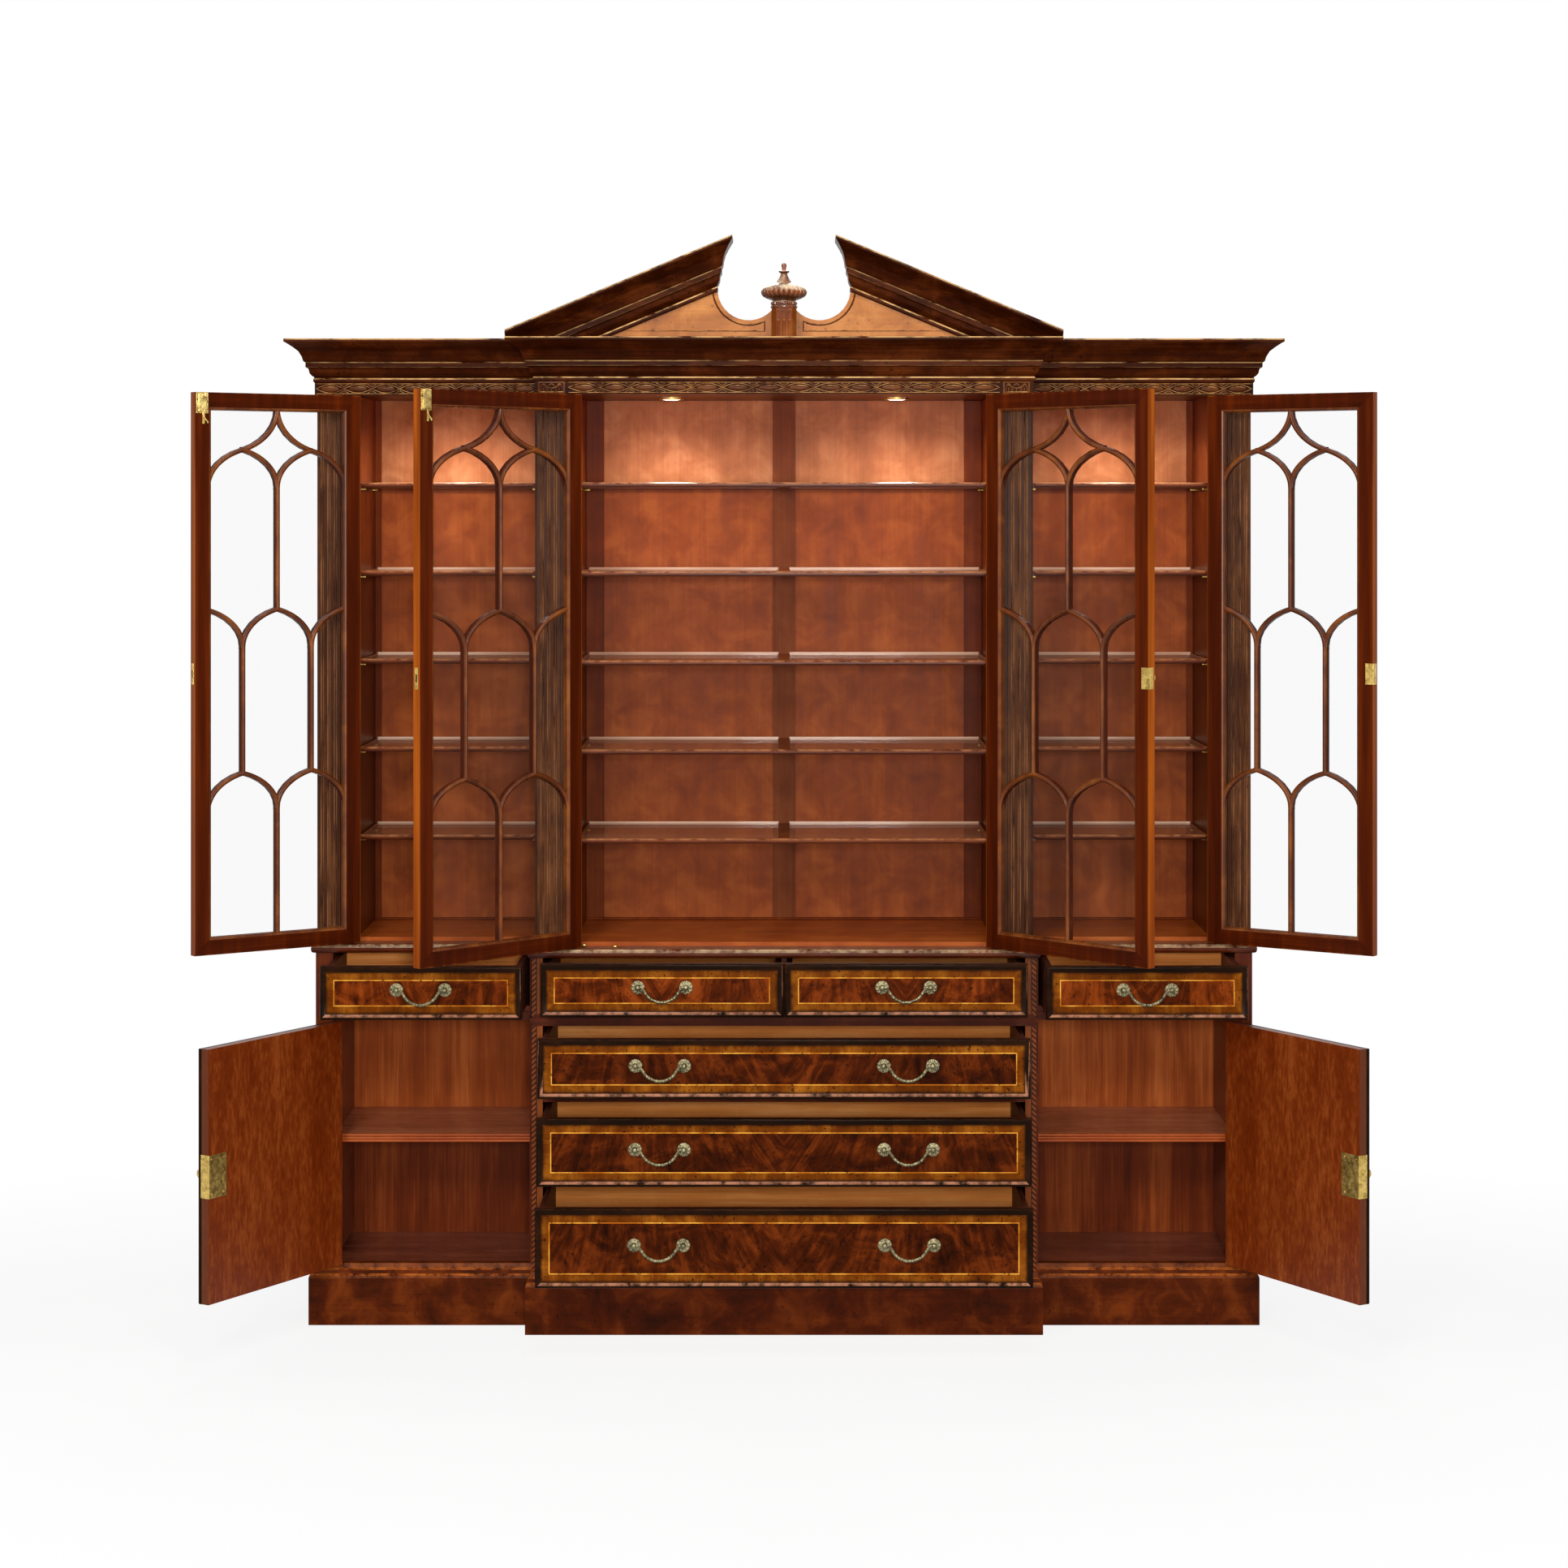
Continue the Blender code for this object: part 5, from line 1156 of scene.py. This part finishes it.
fret = {
    "zLow": 2.1755, "zHigh": 2.2015, "pitch": 0.069, "rise": 0.0098, "eye": (0.33, 0.0018, 0.0066),
    "radius": 0.0014, "steps": 14, "tip": 0.003, "border": 0.0012, "leaf": (0.15, 0.05, 0.0),
    "centre": 0.500, "block": (0.5085, 0.5705), "wing": (0.5760, 1.0985), "faces": (-0.216, -0.126),
}
fretMiddle = (fret["zLow"] + fret["zHigh"]) / 2
# A carved block of the frieze: a bow over its arches, a frame, and the arches as (place, half width)
fretBlock = {
    "halfHeight": 0.0138, "rise": 0.0082, "bow": (0.022, 0.010),
    "frame": ((0, -0.001), (0, 0.0022), (0.003, 0.0026), (0.0045, 0.001), (0.0045, -0.001)),
    "arches": ((-0.018, 0.007), (0.0, 0.009), (0.018, 0.007)),
}


def wave(x0, x1, y, middle, rise, sign):
    line = []
    for step in range(fret["steps"] + 1):
        share = step / fret["steps"]
        line.append((x0 + (x1 - x0) * share, y, middle + sign * rise * math.sin(math.pi * share)))
    return line


def addFret(lines, eyes, x0, x1, y):
    # crossing waves along one face, with a raised leaf inside each eye
    count = round((x1 - x0) / fret["pitch"])
    pitch = (x1 - x0) / count
    share, depth, height = fret["eye"]
    for i in range(count):
        left, right = x0 + pitch * i, x0 + pitch * (i + 1)
        addBall(eyes, (x0 + pitch * (i + 0.5), y + hair, fretMiddle), (pitch * share, depth, height))
        for sign in (-1, 1):
            lines.append(wave(left, right, y, fretMiddle, fret["rise"], sign))
            if i:
                tip, end = fretMiddle + sign * fret["tip"], fretMiddle + sign * fret["rise"]
                lines.append([(left, y, tip), (left, y, end)])
                for lean in (-pitch, pitch):
                    leaf = zip(fret["leaf"], (end, (tip + end) / 2, tip))
                    lines.append([(left + lean * across, y, z) for across, z in leaf])
    for z in (fret["zLow"] + fret["border"], fret["zHigh"] - fret["border"]):
        lines.append([(x0, y, z), (x1, y, z)])


def makeFrieze():
    centreFace, wingFace = fret["faces"]
    lines, eyes = [], bmesh.new()
    addFret(lines, eyes, -fret["centre"], fret["centre"], centreFace)
    for side in (-1, 1):
        addFret(lines, eyes, *sorted(side * x for x in fret["wing"]), wingFace)
    newPiece("friezeEyes", eyes, "carving", smooth=True)
    addRods("friezeFret", lines, fret["radius"], "carving")
    blocks = bmesh.new()
    arches = []
    foot, head = fretMiddle - fretBlock["rise"], fretMiddle + fretBlock["rise"]
    turns = [math.pi * i / 12 for i in range(13)]
    ring = [(math.cos(turn), math.sin(turn) * (head - foot)) for turn in turns]
    for side in (-1, 1):
        near, far = fret["block"]
        centre, half = side * (near + far) / 2, ((far - near) / 2, fretBlock["halfHeight"])
        addFrameMoulding(blocks, (centre, centreFace, fretMiddle), half, fretBlock["frame"])
        for across, reach in fretBlock["arches"]:
            x = centre + across
            arches.append([(x + reach * aside, centreFace, foot + rise) for aside, rise in ring])
            arches.append([(x, centreFace, foot), (x, centreFace, fretMiddle)])
        reach, rise = fretBlock["bow"]
        arches.append(wave(centre - reach, centre + reach, centreFace, head, rise, -1))
    newPiece("friezeBlocks", blocks, "carving")
    addRods("friezeBlockArches", arches, fret["radius"], "carving")


makeFrieze()
print("frieze made")


# Finial: profile as shares of its radius and height, and lobed bands as (start, end, lobes, depth)

finialShape = {
    "radius": 0.0535, "height": 0.106, "sides": 120,
    "bands": ((0.17, 0.54, 24, 0.10), (0.06, 0.145, 30, 0.07)),
    "profile": (
        (0.00, 0.000), (0.57, 0.000), (0.58, 0.020), (0.58, 0.048), (0.53, 0.058), (0.53, 0.066),
        (0.57, 0.080), (0.58, 0.105), (0.57, 0.130), (0.50, 0.150), (0.50, 0.165), (0.60, 0.185),
        (0.76, 0.215), (0.90, 0.255), (0.975, 0.300), (1.00, 0.345), (0.98, 0.385), (0.90, 0.430),
        (0.76, 0.475), (0.58, 0.515), (0.50, 0.530), (0.42, 0.545), (0.33, 0.580), (0.25, 0.630),
        (0.18, 0.690), (0.14, 0.755), (0.16, 0.772), (0.22, 0.785), (0.235, 0.800), (0.22, 0.818),
        (0.11, 0.834), (0.085, 0.860), (0.10, 0.900), (0.115, 0.940), (0.09, 0.975), (0.04, 0.995),
        (0.00, 1.000),
    ),
}


def makeFinial():
    low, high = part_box("finial")
    middle = (low + high) / 2
    bm = bmesh.new()
    radius, height = finialShape["radius"], finialShape["height"]
    profile = [(radius * away, height * rise) for away, rise in finialShape["profile"]]
    addTurned(bm, profile, Matrix.Translation((middle.x, middle.y, low.z)), finialShape["sides"])
    for vert in bm.verts:
        share = (vert.co.z - low.z) / height
        away = Vector((vert.co.x - middle.x, vert.co.y - middle.y))
        for start, end, count, depth in finialShape["bands"]:
            if start < share < end and away.length > 0.001:
                swell = math.sin(math.pi * (share - start) / (end - start))
                groove = 1 - abs(math.sin(math.atan2(away.y, away.x) * count / 2))
                away *= 1 - depth * swell * groove ** 2
        vert.co.x, vert.co.y = middle.x + away.x, middle.y + away.y
    newPiece("finialCarving", bm, "finialWood", smooth=True, replaced=("finial",))


blockShape = {
    "flutes": 3, "pitch": 0.0135, "radius": 0.0042, "foot": 0.003, "head": 0.86, "stop": 0.55,
    "stopRadius": 0.0030, "edge": 0.0011,
}


def makeBlockFlutes():
    low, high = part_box("finial_block")
    middle = (low + high) / 2
    height = high.z - low.z
    foot, reach, thick = low.z + blockShape["foot"], blockShape["radius"], blockShape["stopRadius"]
    head, stop = low.z + height * blockShape["head"], low.z + height * blockShape["stop"]
    turns = [math.pi * step / 8 for step in range(9)]
    edges, stops = [], bmesh.new()
    for i in range(blockShape["flutes"]):
        x = middle.x + blockShape["pitch"] * (i - (blockShape["flutes"] - 1) / 2)
        bow = [(x - reach * math.cos(turn), low.y, head + reach * math.sin(turn)) for turn in turns]
        edges.append([(x - reach, low.y, foot)] + bow + [(x + reach, low.y, foot)])
        addRound(stops, (x, low.y + 0.0008, foot), (x, low.y + 0.0008, stop), thick, 12)
        addBall(stops, (x, low.y + 0.0008, stop), (thick, thick, thick))
    addRods("blockFluteEdges", edges, blockShape["edge"], "blockWood")
    newPiece("blockFluteStops", stops, "blockWood", smooth=True)


makeFinial()
makeBlockFlutes()
print("finial made")


# Moulded border of the tympanum's panels

pediment = {
    "faceY": -0.2097, "foot": 2.3205, "inner": 0.045, "outer": 0.374, "apex": (0.1655, 2.4110),
    "scoopRadius": 0.0725, "scoopCentre": (0.082, 2.4178), "border": 0.011, "radius": 0.0022, "steps": 16,
}


def makeTympanumBorder():
    lines = []
    centreX, centreZ = pediment["scoopCentre"]
    reach = pediment["scoopRadius"] + pediment["border"]
    apexX, apexZ = pediment["apex"]
    start = math.atan2(apexZ - centreZ, apexX - centreX)
    endX = pediment["inner"] - centreX
    end = math.atan2(-math.sqrt(reach ** 2 - endX ** 2), endX)
    for side in (-1, 1):
        line = [(pediment["outer"], pediment["foot"]), pediment["apex"]]
        for step in range(1, pediment["steps"] + 1):
            turn = start + (end - start) * step / pediment["steps"]
            line.append((centreX + reach * math.cos(turn), centreZ + reach * math.sin(turn)))
        line.append((pediment["inner"], pediment["foot"]))
        lines.append([(side * x, pediment["faceY"], z) for x, z in line])
    addRods("tympanumBorder", lines, pediment["radius"], "carving", resolution=2, closed=True)


makeTympanumBorder()


# Camera, floor and lights

view = {"place": (0.0, -7.64, 1.89), "lens": 73.46, "shiftY": -0.1708, "clip": 60.0}
floorPlan = {"middle": (0, 0.45, -0.0005), "half": (9.0, 2.55), "fade": (1.0, 2.6), "white": (0.86, 0.14)}


def makeStage():
    # white to the eye, and lit by the lamps only so far as to show the object's shadow
    ground = Finish("paleFloor", Roughness=0.9)
    here = ground.place()
    tone = ground.noise(here, 0.7, 2.0)
    ground.set(Base_Color=ground.ramp(tone, [(0.3, shade(236, 236, 236)), (0.7, shade(240, 240, 240))]))
    white = ground.node("ShaderNodeEmission", None, {0: (1, 1, 1, 1), 1: 1.0})
    lit = Link(ground, ground.shader.outputs[0])
    x, y, z = ground.axes(here)
    least, more = floorPlan["white"]
    away = (abs(x) * 0.5 + abs(y)).step(*floorPlan["fade"])
    values = {0: ground.seen() * (away * more + least), 1: lit, 2: white}
    mixed = ground.node("ShaderNodeMixShader", None, values)
    ground.put(ground.tree.nodes["Material Output"].inputs[0], mixed)
    bm = bmesh.new()
    matrix = Matrix.Translation(floorPlan["middle"]) @ Matrix.Diagonal((*floorPlan["half"], 1, 1))
    bmesh.ops.create_grid(bm, x_segments=1, y_segments=1, size=1.0, matrix=matrix)
    floor = addObject("floor", meshFrom("floor", bm))
    floor.data.materials.append(ground.material)


# Each lamp: place, target, size, power, colour
lamps = {
    "front": ((0.2, -7.9, 1.95), (0.0, 0.0, 1.1), 0.8, 250.0, (1.0, 0.98, 0.95)),
    "left": ((-1.5, -6.0, 3.7), (0.0, 0.0, 1.2), 1.2, 150.0, (1.0, 0.98, 0.95)),
    "right": ((1.9, -6.2, 3.3), (0.0, 0.0, 1.2), 1.2, 50.0, (1.0, 0.98, 0.95)),
    "top": ((0.0, -2.6, 5.2), (0.0, 0.0, 1.8), 1.4, 60.0, (1.0, 1.0, 1.0)),
    "back": ((0.0, 5.0, 4.6), (0.0, 0.0, 1.4), 2.0, 140.0, (1.0, 1.0, 1.0)),
}


def addLamp(name, kind, place, **settings):
    lamp = bpy.data.lights.new(name, kind)
    for key, value in settings.items():
        setattr(lamp, key, value)
    holder = addObject(name, lamp)
    holder.location = place
    return holder


def makeLights():
    for name, (place, target, size, power, colour) in lamps.items():
        holder = addLamp(name, "AREA", place, shape="SQUARE", size=size, energy=power, color=colour)
        holder.rotation_mode = "QUATERNION"
        holder.rotation_quaternion = (Vector(target) - Vector(place)).to_track_quat("-Z", "Y")
    forward, down = puck["offset"]
    for x, y in puck["places"]:
        addLamp(
            "puckGlow", "SPOT", (x, y + forward, case["ceiling"] + down), energy=puck["power"],
            spot_size=math.radians(puck["angle"]), spot_blend=1.0, shadow_soft_size=puck["size"],
            color=puck["color"],
        )
    world = bpy.context.scene.world or bpy.data.worlds.new("studio")
    bpy.context.scene.world = world
    surround = Finish("studio", world, "Background", Color=(1, 1, 1, 1))
    surround.set(Strength=surround.seen() * 0.9 + 0.1)


def makeCamera():
    camera = addObject("camera", bpy.data.cameras.new("camera"))
    camera.location = view["place"]
    camera.rotation_euler = (math.radians(90), 0, 0)
    camera.data.lens = view["lens"]
    camera.data.shift_y = view["shiftY"]
    camera.data.clip_end = view["clip"]
    bpy.context.scene.camera = camera


makeStage()
makeLights()
makeCamera()
bpy.context.scene.view_settings.view_transform = "Standard"

print("scene done")
